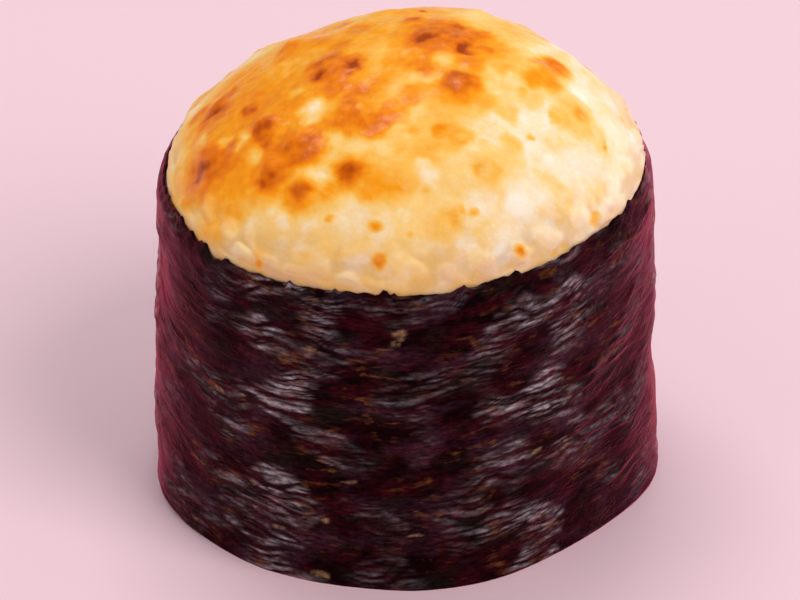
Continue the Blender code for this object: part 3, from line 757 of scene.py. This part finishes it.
def away_from(points, x, y, radius):
    """Straight-line distance from a mark's middle on the smooth dome, in radii of the mark. The mark is given
    in millimetres from the axis."""
    angle = np.arctan2(y, x)
    reach = np.minimum(np.hypot(x, y) * MM / filling_radius(angle, BAND_HEIGHT - EDGE_DROP), 1.0)
    middle = dome_point(angle, np.arcsin(reach) / (0.5 * math.pi))
    return np.linalg.norm(points - middle, axis=-1) / (radius * MM)


def blister_field(points):
    """Half a cosine over each blister's radius; where two meet, the higher one shows."""
    field = np.zeros(points.shape[:-1])
    for blister in BLISTERS:
        field = np.maximum(field, hump(away_from(points, *blister)))
    return field


def shreds(angle, share, points):
    """Shreds of filling by the rim: soft ovals that slant to either side, with outlines that noise has pushed
    about. Gives how high each point lies, the fourth root of the summed fourth powers of the shreds' heights,
    and the tone there, the mean of the shreds' own tones weighed by the same powers."""
    draw = np.random.default_rng(SHRED_SEED)
    around = angle * RIM_RADIUS + layered(points, SHRED_PUSHES[0])
    down = share * DOME_RUN + layered(points, SHRED_PUSHES[1])
    weight = np.zeros(np.broadcast(angle, share).shape)
    toned = np.zeros(weight.shape)
    for _ in range(SHRED_COUNT):
        middle = draw.uniform(0, TURN)
        level = draw.uniform(*SHRED_PLACES) * DOME_RUN
        slant = draw.normal(*SHRED_SLANT) * draw.choice((-1.0, 1.0), p=SHRED_SIDES)
        half_length = draw.uniform(*SHRED_HALF_LENGTH)
        half_width = draw.uniform(*SHRED_HALF_WIDTH)
        lift = draw.uniform(*SHRED_LIFT)
        own_tone = draw.uniform(0, 1)
        side = turn_from(middle, around / RIM_RADIUS) * RIM_RADIUS
        fall = down - level
        run = (side * math.cos(slant) + fall * math.sin(slant)) / half_length
        off = (fall * math.cos(slant) - side * math.sin(slant)) / half_width
        fourth_power = (lift * np.exp(-(run**4) - off**2)) ** 4
        weight += fourth_power
        toned += own_tone * fourth_power
    height = weight**0.25
    tone = 0.5 + (toned / np.maximum(weight, 1e-9) - 0.5) * ease(height, 0, SHRED_TONE_HEIGHT)
    return height, tone


def back_marks():
    """Marks for the back, drawn from a seed: golden areas first, then smaller and browner ones."""
    draw = np.random.default_rng(BACK_MARK_SEED)
    angle = draw.uniform(*BACK_MARK_ANGLES, BACK_MARKS)
    reach = BACK_MARK_REACH * np.sqrt(draw.uniform(0.1, 1.0, BACK_MARKS))
    size = np.linspace(1, 0, BACK_MARKS)
    radius = BACK_MARK_SIZES[0] + draw.uniform(0.4, 1.0, BACK_MARKS) * BACK_MARK_SIZES[1] * size**1.5
    level = BACK_MARK_LEVELS[0] + BACK_MARK_LEVELS[1] * (1 - size) * draw.uniform(0.0, 1.0, BACK_MARKS)
    level += draw.uniform(-0.1, 0.2, BACK_MARKS)
    x = reach * np.cos(angle)
    y = reach * np.sin(angle)
    level -= BACK_PALER_RIGHT * ease(x, 2, 10)
    return np.stack((x, y, radius, level), axis=-1)[y > BACK_MARK_FROM]


def browning(points):
    """How baked each point is, from 0 to 1: each mark draws the level towards its own, fully round its middle
    and less and less out to its edge, on places that noise has pushed about, so that outlines are ragged."""
    moved = points
    for reach, cell, seeds in MARK_PUSHES:
        moved = moved + reach * np.stack([noise(points / cell, seed) for seed in seeds], axis=-1)
    level = UNBAKED_LEVEL - PALER_RIGHT * ease(points[..., 0], *PALER_FROM) + layered(points, UNBAKED_CLOUDS)
    for *mark, aim in (*GOLDEN_AREAS, *back_marks(), *BLOTCHES, *PALE_AND_HIGHLIGHT_MARKS):
        level += (aim - level) * (1 - ease(away_from(moved, *mark), *MARK_EDGE))
    return np.clip(level * (1 + layered(points, MOTTLE)), 0, 1)


def dome_surface(angle, share, sizes):
    """The dome with its relief, raised along the line from the middle of the plug, how baked each point is,
    the shreds' tone, and the painted shade in the gaps between shreds and along the rim. At the right the
    filling swells a little over the rim, by a cosine and a squared sine, and nothing reaches the sheet."""
    smooth = dome_point(angle, share)
    outward = smooth - np.array((0, 0, PLUG_BOTTOM))
    outward /= np.linalg.norm(outward, axis=-1, keepdims=True)
    baked = browning(smooth)
    by_rim = ease(share, *SHRED_START)
    shred, shred_tone = shreds(angle, share, smooth)
    swell_side = np.maximum(np.cos(angle - SWELL_ANGLE), 0)
    swell_run = np.clip((share - SWELL_FROM) / (1 - SWELL_FROM), 0, 1)
    relief = sizes.lump_height * layered(smooth, LUMPS) + layered(smooth, SKIN_GRAIN)
    relief += sizes.blister_height * blister_field(smooth)
    relief += CRUST_RISE * ease(baked, *CRUST_LEVELS) - SCORCH_SINK * ease(baked, *SCORCH_LEVELS)
    relief += SWELL * swell_side * np.sin(math.pi * swell_run) ** 2
    relief += sizes.shred_height * shred * by_rim
    relief *= 1 - ease(share, *RELIEF_END)
    raised = smooth + outward * relief[..., None]
    reach = np.hypot(raised[..., 0], raised[..., 1])
    over_rim = ease(raised[..., 2] - rim_height(angle), 0, OVERHANG_HEIGHT)
    farthest = filling_radius(angle, BAND_HEIGHT - EDGE_DROP) + OVERHANG * over_rim * swell_side
    raised[..., :2] *= np.minimum(1.0, farthest / np.maximum(reach, 1e-9))[..., None]
    tone = 0.5 + (shred_tone - 0.5) * by_rim
    # Painted shade along the rim and in the gaps between shreds.
    rim_painted_shade = RIM_SHADE_SHARE * ease(share, *RIM_SHADE_PLACES)
    painted_shade = np.maximum((1 - ease(shred, 0, SHRED_SHADE_HEIGHT)) * by_rim, rim_painted_shade)
    return raised, baked, tone, painted_shade


def make_topping(sizes, material):
    """Rings from the crown down the dome and the plug's side to the middle of its underside."""
    angle = np.linspace(0, TURN, TOPPING_SEGMENTS, endpoint=False)
    share = np.linspace(0, 1, DOME_RINGS + 1)[1:, None]
    dome, baked, tone, painted_shade = dome_surface(angle, share, sizes)
    down = np.linspace(0, 1, SKIRT_RINGS + 1)[1:, None]
    top = dome[-1, :, 2]
    skirt_z = top + (PLUG_BOTTOM - top) * down
    skirt = round_points(angle, filling_radius(angle, skirt_z), skirt_z)
    rings = np.concatenate((dome, skirt, inner_rings(skirt[-1], UNDERSIDE_RINGS)))
    crown = dome_surface(np.zeros((1, 1)), np.zeros((1, 1)), sizes)[0]
    points = AXIS + np.concatenate((rings.reshape(-1, 3), crown.reshape(1, 3), ((0, 0, PLUG_BOTTOM),)))
    made = mesh_object("baked_topping_crust", points, closed_faces(len(rings), TOPPING_SEGMENTS), material)
    # The painted shade goes to the mesh with the browning and the shreds' tone.
    for name, field in (("browning", baked), ("shred_tone", tone), ("shred_gap", painted_shade)):
        values = np.zeros(len(points))
        values[: field.size] = field.ravel()
        values[len(rings) * TOPPING_SEGMENTS] = field[0].mean()
        add_attribute(made, name, values)
    return made


# ---------------------------------------------------------------------------------------------------------
# Rice


def make_rice_core(material):
    """A pressed puck that follows the band's plan, a little inside it."""
    angle = np.linspace(0, TURN, RICE_SEGMENTS, endpoint=False)
    z = np.linspace(PLUG_BOTTOM - RICE_GAP, PUCK_BOTTOM, RICE_WALL_RINGS)[:, None]
    wall = round_points(angle, inner_radius(angle, z) - RICE_WALL, z)
    top = inner_rings(wall[0], RICE_END_RINGS)[::-1]
    rings = np.concatenate((top, wall, inner_rings(wall[-1], RICE_END_RINGS)))
    middles = ((0, 0, PLUG_BOTTOM - RICE_GAP), (0, 0, PUCK_BOTTOM))
    points = AXIS + np.concatenate((rings.reshape(-1, 3), middles))
    return mesh_object("rice_core", points, closed_faces(len(rings), RICE_SEGMENTS), material)


def grain_places(sizes):
    """Where each grain lies: the middle one pressed flat, then two layers spread as seeds are in a sunflower,
    the lower one as the solid has it. A rotation and a place for each."""
    draw = random.Random(GRAIN_SEED)
    places = [(Euler((0, 0, 0)), (0.0, 0.0, 0.5 * sizes.grain_depth - MIDDLE_GRAIN_SINK))]
    margin = RICE_GAP + 0.5 * sizes.grain_width + GRAIN_MARGIN
    for first, count, lowest, highest, roll, tilt in GRAIN_LAYERS:
        for step in range(count):
            angle = (first + step) * GOLDEN_ANGLE
            share = math.sqrt((first + step) / count)
            if share > BY_WALL:
                turn = draw.uniform(-WALL_GRAIN_SWING, WALL_GRAIN_SWING) + angle + math.pi / 2
            else:
                turn = draw.uniform(0, math.pi)
            reach = (inner_radius(angle, PUCK_BOTTOM) - margin) * share
            height = 0.5 * sizes.grain_depth + draw.uniform(lowest, highest)
            lie = Euler((draw.uniform(-roll, roll), draw.uniform(-tilt, tilt), turn))
            places.append((lie, (reach * math.cos(angle), reach * math.sin(angle), height)))
    return places


def grain_surface(run, around, sizes):
    """A grain that lies along X: run goes from -1 to 1 along it, and around is the angle round it. Its girth
    is (1 - run to the power 2.6) to the power 0.62, and it bends by its run squared."""
    girth = (1 - np.abs(run) ** GRAIN_BLUNTNESS) ** GRAIN_FULLNESS
    bend = GRAIN_BEND * sizes.grain_length * (run**2 - GRAIN_BEND_MIDDLE)
    x = 0.5 * sizes.grain_length * run
    y = 0.5 * sizes.grain_width * girth * np.cos(around) + bend
    z = 0.5 * sizes.grain_depth * girth * np.sin(around)
    return np.stack(np.broadcast_arrays(x, y, z), axis=-1)


def make_grains(sizes, material):
    """Cooked grains: ovals of round section with blunt ends and a slight bend, pressed level on the board."""
    run = np.linspace(-1, 1, GRAIN_RINGS + 2)[1:-1, None]
    around = np.linspace(0, TURN, GRAIN_SIDES, endpoint=False)
    body = grain_surface(run, around, sizes).reshape(-1, 3)
    one = np.concatenate((body, grain_surface(np.array((-1.0, 1.0)), 0.0, sizes)))
    places = grain_places(sizes)
    draw = np.random.default_rng(GRAIN_SEED)
    swell = draw.uniform(*GRAIN_SIZES, (len(places), 1, 3))
    turns = np.array([lie.to_matrix() for lie, _ in places])
    middles = np.array([middle for _, middle in places])
    grains = np.einsum("gij,gvj->gvi", turns, one * swell) + middles[:, None]
    grains[..., 2] = np.maximum(grains[..., 2], 0.0)
    reach = np.hypot(grains[..., 0], grains[..., 1])
    heading = np.arctan2(grains[..., 1], grains[..., 0])
    limit = inner_radius(heading, grains[..., 2]) - GRAIN_WALL_GAP
    grains[..., :2] *= np.minimum(1.0, limit / np.maximum(reach, MM))[..., None]
    offsets = (np.arange(len(places)) * len(one))[:, None, None]
    kinds = closed_faces(GRAIN_RINGS, GRAIN_SIDES)
    faces = [(kind[:, ::-1] + offsets).reshape(-1, kind.shape[1]) for kind in kinds]
    made = mesh_object("rice_grains", AXIS + grains, faces, material)
    add_attribute(made, "grain_tone", np.repeat(draw.uniform(0, 1, len(places)), len(one)))
    return made


# ---------------------------------------------------------------------------------------------------------
# Finishes


class Finish:
    """A node material as it is put together. Most methods add a node and give its output."""

    def __init__(self, name):
        self.material = bpy.data.materials.new(name)
        self.material.use_nodes = True
        self.tree = self.material.node_tree
        self.shader = self.tree.nodes["Principled BSDF"]

    def set_inputs(self, node, inputs):
        """Links an input where its value is another node's output, and otherwise sets it."""
        for key, value in inputs.items():
            socket = node.inputs[key]
            if isinstance(value, bpy.types.NodeSocket):
                self.tree.links.new(value, socket)
            elif socket.type == "RGBA":
                socket.default_value = (*value, 1.0)
            else:
                socket.default_value = value

    def add(self, kind, inputs, output=0, **settings):
        """A shader node with its settings and inputs."""
        node = self.tree.nodes.new("ShaderNode" + kind)
        for name, value in settings.items():
            setattr(node, name, value)
        self.set_inputs(node, inputs)
        return node.outputs[output]

    def attribute(self, name):
        """A number that the mesh holds for each vertex."""
        return self.add("Attribute", {}, "Fac", attribute_name=name)

    def own_place(self):
        """The place on the piece, in metres."""
        return self.add("TexCoord", {}, "Object")

    def noise(self, place, size, detail=2.0, roughness=0.5, distortion=0.0, along=1.0):
        """Noise whose cells are about size metres wide, and that many times as long along the strip."""
        if along != 1.0:
            place = self.add("Mapping", {"Vector": place, "Scale": (1 / along, 1.0, 1.0)})
        return self.add("TexNoise", {"Vector": place, "Scale": 1 / size, "Detail": detail,
                                     "Roughness": roughness, "Distortion": distortion})

    def ranged(self, value, low, high, to_low=0.0, to_high=1.0):
        """Maps low..high to to_low..to_high, and no further."""
        return self.add("MapRange", {"Value": value, "From Min": low, "From Max": high, "To Min": to_low,
                                     "To Max": to_high})

    def patches(self, place, size, low, high, to_low=0.0, to_high=1.0, **character):
        """Noise mapped from low..high to to_low..to_high."""
        return self.ranged(self.noise(place, size, **character), low, high, to_low, to_high)

    def math(self, operation, *values):
        return self.add("Math", dict(enumerate(values)), operation=operation)

    def product(self, first, *others):
        for other in others:
            first = self.math("MULTIPLY", first, other)
        return first

    def mixed(self, factor, first, second, blend="MIX"):
        """Mixes two colours."""
        return self.add("Mix", {0: factor, 6: first, 7: second}, 2, data_type="RGBA", blend_type=blend)

    def ramp(self, factor, stops):
        """A colour ramp from (place, colour) pairs."""
        tone = self.add("ValToRGB", {"Fac": factor})
        elements = tone.node.color_ramp.elements
        while len(elements) < len(stops):
            elements.new(0.5)
        for element, (place, stop_tone) in zip(elements, stops):
            element.position = place
            element.color = (*stop_tone, 1.0)
        return tone

    def bump(self, height, distance, strength=1.0):
        """The surface's direction on a relief, distance metres high."""
        return self.add("Bump", {"Height": height, "Strength": strength, "Distance": distance})

    def done(self, inputs):
        """Gives the shader its inputs, and returns the material."""
        self.set_inputs(self.shader, inputs)
        return self.material


def seaweed_finish(colours):
    """Toasted seaweed: near black and maroon in patches, some greenish or mauve, with a painted grey sheen on
    the crinkles' upward sides that stands in for the lights' reflection, with rusty flecks, fibres,
    straw-coloured flakes, gloss in patches and fine crinkles."""
    finish = Finish("toasted_seaweed")
    place = finish.add("UVMap", {}, uv_map="strip")
    satin = finish.attribute("satin")
    flake = finish.attribute("flake")
    maroon = finish.patches(place, 1.9 * MM, 0.44, 0.62, detail=5.0, roughness=0.65, along=2.0)
    tone = finish.mixed(maroon, colours.seaweed_dark, colours.seaweed_mid)
    greenish = finish.patches(place, 2.8 * MM, 0.52, 0.66, to_high=0.8, along=1.6)
    tone = finish.mixed(greenish, tone, colours.seaweed_green)
    mauve = finish.patches(place, 3.2 * MM, 0.51, 0.64, to_high=0.42, detail=3.0, along=1.8)
    tone = finish.mixed(mauve, tone, colours.seaweed_mauve)
    # Painted sheen: streaks of grey, warmer in places, over the crinkles' upward sides; the same streaks give
    # the coat.
    sheen_streaks = finish.patches(place, 0.60 * MM, 0.38, 0.62, to_low=0.15, detail=3.0, roughness=0.6,
                             distortion=0.5, along=4.5)
    painted_sheen_and_coat = finish.product(satin, sheen_streaks)
    sheen_warmth = finish.patches(place, 1.3 * MM, 0.46, 0.60, detail=3.0, along=1.8)
    tone = finish.mixed(painted_sheen_and_coat, tone, finish.mixed(sheen_warmth, colours.seaweed_painted_sheen, colours.seaweed_painted_sheen_warm))
    flecks = finish.patches(place, 0.9 * MM, 0.55, 0.72, detail=3.0, roughness=0.6, distortion=0.4, along=2.8)
    fleck_areas = finish.patches(place, 5.0 * MM, 0.44, 0.60)
    tone = finish.mixed(finish.product(flecks, fleck_areas), tone, colours.seaweed_fleck)
    fibres = finish.patches(place, 0.30 * MM, 0.36, 0.64, 0.50, 1.55, detail=3.0, along=2.6)
    tone = finish.mixed(1.0, tone, fibres, "MULTIPLY")
    blotches = finish.patches(place, 0.55 * MM, 0.36, 0.68, to_low=0.15, detail=3.0)
    tone = finish.mixed(finish.product(flake, blotches), tone, colours.seaweed_flake)
    gloss = finish.patches(place, 2.0 * MM, 0.36, 0.64, 0.30, 0.52, detail=3.0, along=2.2)
    crinkles = finish.noise(place, 0.70 * MM, distortion=0.5, along=2.4)
    creases = finish.math("ABSOLUTE", finish.math("SUBTRACT", crinkles, 0.5))
    creases = finish.product(creases, finish.patches(place, 2.4 * MM, 0.4, 0.6, to_high=0.6, along=1.6))
    pores = finish.product(finish.noise(place, 0.16 * MM), 0.08)
    return finish.done({
        "Base Color": tone,
        "Roughness": finish.math("SUBTRACT", gloss, finish.product(satin, 0.10)),
        "Normal": finish.bump(finish.math("ADD", creases, pores), 0.42 * MM),
        "Coat Weight": finish.product(painted_sheen_and_coat, 0.35),
        "Coat Roughness": 0.35,
        "IOR": 1.06,
        "Specular Tint": (1.0, 0.58, 0.66),
        "Sheen Weight": 0.85,
        "Sheen Roughness": 0.315,
        "Sheen Tint": (1.0, 0.12, 0.25),
    })


def topping_finish(colours):
    """Baked cream: from pale cream through gold and orange to scorched brown as the browning attribute says,
    a little translucent, and moist in patches, most of all where it is baked. Where it isn't baked, shreds
    are rosy or pale by their own tone, with a painted shade of tan in the gaps between them and along the
    rim."""
    finish = Finish("baked_cream_crust")
    place = finish.own_place()
    baked = finish.attribute("browning")
    shift = finish.patches(place, 0.55 * MM, 0.2, 0.8, -0.03, 0.03, detail=4.0, roughness=0.6)
    depth = finish.math("ADD", baked, shift)
    tone = finish.ramp(depth, (
        (0.03, colours.pale),
        (0.15, colours.cream),
        (0.27, colours.yellow),
        (0.44, colours.golden),
        (0.62, colours.orange),
        (0.82, colours.brown),
        (0.97, colours.scorched),
    ))
    shred_tone = finish.attribute("shred_tone")
    unbaked = finish.ranged(depth, 0.16, 0.34, 1.0, 0.25)
    rosy = finish.product(finish.ranged(shred_tone, 0.5, 0.0, to_high=0.75), unbaked)
    tone = finish.mixed(rosy, tone, colours.rosy)
    light = finish.product(finish.ranged(shred_tone, 0.5, 1.0, to_high=0.40), unbaked)
    tone = finish.mixed(light, tone, colours.pale)
    # Painted shade: tan in the gaps between shreds and along the rim.
    painted_shade = finish.product(finish.attribute("shred_gap"), unbaked, 0.5)
    wet = finish.patches(place, 1.6 * MM, 0.48, 0.60, detail=3.0, roughness=0.6)
    skin = finish.noise(place, 0.5 * MM, detail=4.0, roughness=0.6)
    return finish.done({
        "Base Color": finish.mixed(painted_shade, tone, colours.tan),
        "Roughness": finish.patches(place, 1.4 * MM, 0.3, 0.7, 0.34, 0.56, detail=3.0),
        "Normal": finish.bump(skin, 0.10 * MM, strength=0.6),
        "Coat Weight": finish.product(wet, finish.ranged(baked, 0.25, 0.50, 0.14, 0.52)),
        "Coat Roughness": 0.16,
        "Coat IOR": 1.4,
        "Subsurface Weight": 0.15,
        "Subsurface Radius": (1.0, 0.45, 0.2),
        "Subsurface Scale": 0.5 * MM,
        "IOR": 1.20,
        "Specular Tint": (1.0, 0.65, 0.25),
        "Sheen Weight": 0.14,
        "Sheen Roughness": 0.25,
        "Sheen Tint": (1.0, 0.66, 0.45),
    })


def rice_finish(colours, name, by_grain):
    """Cooked rice: milky, moist and translucent, each grain a little lighter or darker where by_grain is
    set."""
    finish = Finish(name)
    place = finish.own_place()
    shade = finish.attribute("grain_tone") if by_grain else finish.noise(place, 2.6 * MM)
    darker = [0.82 * channel for channel in colours.rice]
    skin = finish.noise(place, 0.4 * MM, detail=3.0)
    return finish.done({
        "Base Color": finish.mixed(shade, darker, colours.rice),
        "Roughness": finish.patches(place, 0.8 * MM, 0.3, 0.7, 0.22, 0.42),
        "Normal": finish.bump(skin, 0.08 * MM, strength=0.4),
        "Subsurface Weight": 0.4,
        "Subsurface Radius": (1.0, 0.8, 0.6),
        "Subsurface Scale": 1.2 * MM,
    })


def floor_finish(colours):
    """A matt pale floor with the faintest unevenness."""
    finish = Finish("pale_floor")
    darker = [0.985 * channel for channel in colours.floor]
    cloud = finish.noise(finish.own_place(), 60 * MM)
    return finish.done({"Base Color": finish.mixed(cloud, darker, colours.floor), "Roughness": 0.65})


# ---------------------------------------------------------------------------------------------------------
# Stage


def make_floor(material):
    """A flat square under the sushi."""
    corners = FLOOR_HALF * np.array(((-1, -1, 0), (1, -1, 0), (1, 1, 0), (-1, 1, 0)))
    return mesh_object("floor", corners, (np.array(((0, 1, 2, 3),)),), material)


def add_area_light(name, watts, size, bearing, elevation, distance, target):
    """A rectangular soft light that faces the target."""
    data = bpy.data.lights.new(name, "AREA")
    data.shape = "RECTANGLE"
    data.size, data.size_y = size
    data.energy = watts
    away = Vector((
        math.sin(bearing) * math.cos(elevation),
        -math.cos(bearing) * math.cos(elevation),
        math.sin(elevation),
    ))
    made = bpy.data.objects.new(name, data)
    made.location = target + away * distance
    made.rotation_euler = (-away).to_track_quat("-Z", "Y").to_euler()
    bpy.context.scene.collection.objects.link(made)


def add_air(scene, strength):
    """Even, nearly white light from all around."""
    world = bpy.data.worlds.new("studio_air")
    world.use_nodes = True
    background = world.node_tree.nodes["Background"]
    background.inputs["Color"].default_value = AIR_TINT
    background.inputs["Strength"].default_value = strength
    scene.world = world
    scene.view_settings.view_transform = "Standard"


def add_camera(scene, studio, target):
    """The camera, in front of the target and above it."""
    data = bpy.data.cameras.new("camera")
    data.lens = studio.camera_lens
    data.sensor_width = CAMERA_SENSOR
    data.shift_x, data.shift_y = CAMERA_SHIFT
    data.clip_start, data.clip_end = CAMERA_CLIP
    camera = bpy.data.objects.new("camera", data)
    toward = Vector((0, -math.cos(studio.camera_elevation), math.sin(studio.camera_elevation)))
    camera.location = target + toward * studio.camera_distance
    camera.rotation_euler = toward.to_track_quat("Z", "Y").to_euler()
    scene.collection.objects.link(camera)
    scene.camera = camera


# ---------------------------------------------------------------------------------------------------------
# Operators


class SUSHI_OT_add_seaweed(bpy.types.Operator):
    """Add the crinkled seaweed band in place of its solid"""

    bl_idname = "sushi.add_seaweed"
    bl_label = "Seaweed Band"

    def execute(self, context):
        scene = context.scene
        sheet = make_seaweed(scene.sushi_sizes, seaweed_finish(scene.sushi_colours))
        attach(sheet, "root")
        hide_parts("nori_wrap")
        return {"FINISHED"}


class SUSHI_OT_add_topping(bpy.types.Operator):
    """Add the baked topping in place of its solid"""

    bl_idname = "sushi.add_topping"
    bl_label = "Baked Topping"

    def execute(self, context):
        scene = context.scene
        crust = make_topping(scene.sushi_sizes, topping_finish(scene.sushi_colours))
        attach(crust, "root")
        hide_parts("baked_topping")
        return {"FINISHED"}


class SUSHI_OT_add_rice(bpy.types.Operator):
    """Add the rice, a core and its grains, in place of its solid"""

    bl_idname = "sushi.add_rice"
    bl_label = "Rice"

    def execute(self, context):
        scene = context.scene
        colours = scene.sushi_colours
        core = make_rice_core(rice_finish(colours, "pressed_rice", by_grain=False))
        grains = make_grains(scene.sushi_sizes, rice_finish(colours, "rice_grain", by_grain=True))
        for piece in (core, grains):
            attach(piece, "root")
            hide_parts("rice_bed")
        return {"FINISHED"}


class SUSHI_OT_add_stage(bpy.types.Operator):
    """Add the pale floor, the soft studio lights and the camera"""

    bl_idname = "sushi.add_stage"
    bl_label = "Floor, Lights and Camera"

    def execute(self, context):
        scene = context.scene
        studio = scene.sushi_studio
        target = Vector((AXIS[0], AXIS[1], TARGET_HEIGHT))
        floor = make_floor(floor_finish(scene.sushi_colours))
        for name, watts, *place in LIGHTS:
            add_area_light(name, getattr(studio, watts), *place, target)
        add_air(scene, studio.sky_strength)
        add_camera(scene, studio, target)
        return {"FINISHED"}


class SUSHI_PT_panel(bpy.types.Panel):
    """Sizes, colours and light of the gunkan sushi"""

    bl_idname = "SUSHI_PT_panel"
    bl_label = "Gunkan Sushi"
    bl_space_type = "VIEW_3D"
    bl_region_type = "UI"
    bl_category = "Sushi"

    def draw(self, context):
        scene = context.scene
        for kind in (SUSHI_OT_add_seaweed, SUSHI_OT_add_topping, SUSHI_OT_add_rice, SUSHI_OT_add_stage):
            self.layout.operator(kind.bl_idname)
        for group in (scene.sushi_sizes, scene.sushi_colours, scene.sushi_studio):
            box = self.layout.box()
            for name in group.bl_rna.properties.keys():
                if name not in ("rna_type", "name"):
                    box.prop(group, name, text=name.replace("_", " ").capitalize())


CLASSES = (
    SushiSizes,
    SushiColours,
    SushiStudio,
    SUSHI_OT_add_seaweed,
    SUSHI_OT_add_topping,
    SUSHI_OT_add_rice,
    SUSHI_OT_add_stage,
    SUSHI_PT_panel,
)


def register():
    for kind in CLASSES:
        bpy.utils.register_class(kind)
    bpy.types.Scene.sushi_sizes = PointerProperty(type=SushiSizes)
    bpy.types.Scene.sushi_colours = PointerProperty(type=SushiColours)
    bpy.types.Scene.sushi_studio = PointerProperty(type=SushiStudio)


def unregister():
    del bpy.types.Scene.sushi_studio
    del bpy.types.Scene.sushi_colours
    del bpy.types.Scene.sushi_sizes
    for kind in reversed(CLASSES):
        bpy.utils.unregister_class(kind)


def main():
    register()
    bpy.ops.sushi.add_seaweed()
    bpy.ops.sushi.add_topping()
    bpy.ops.sushi.add_rice()
    bpy.ops.sushi.add_stage()


if __name__ == "__main__":
    main()
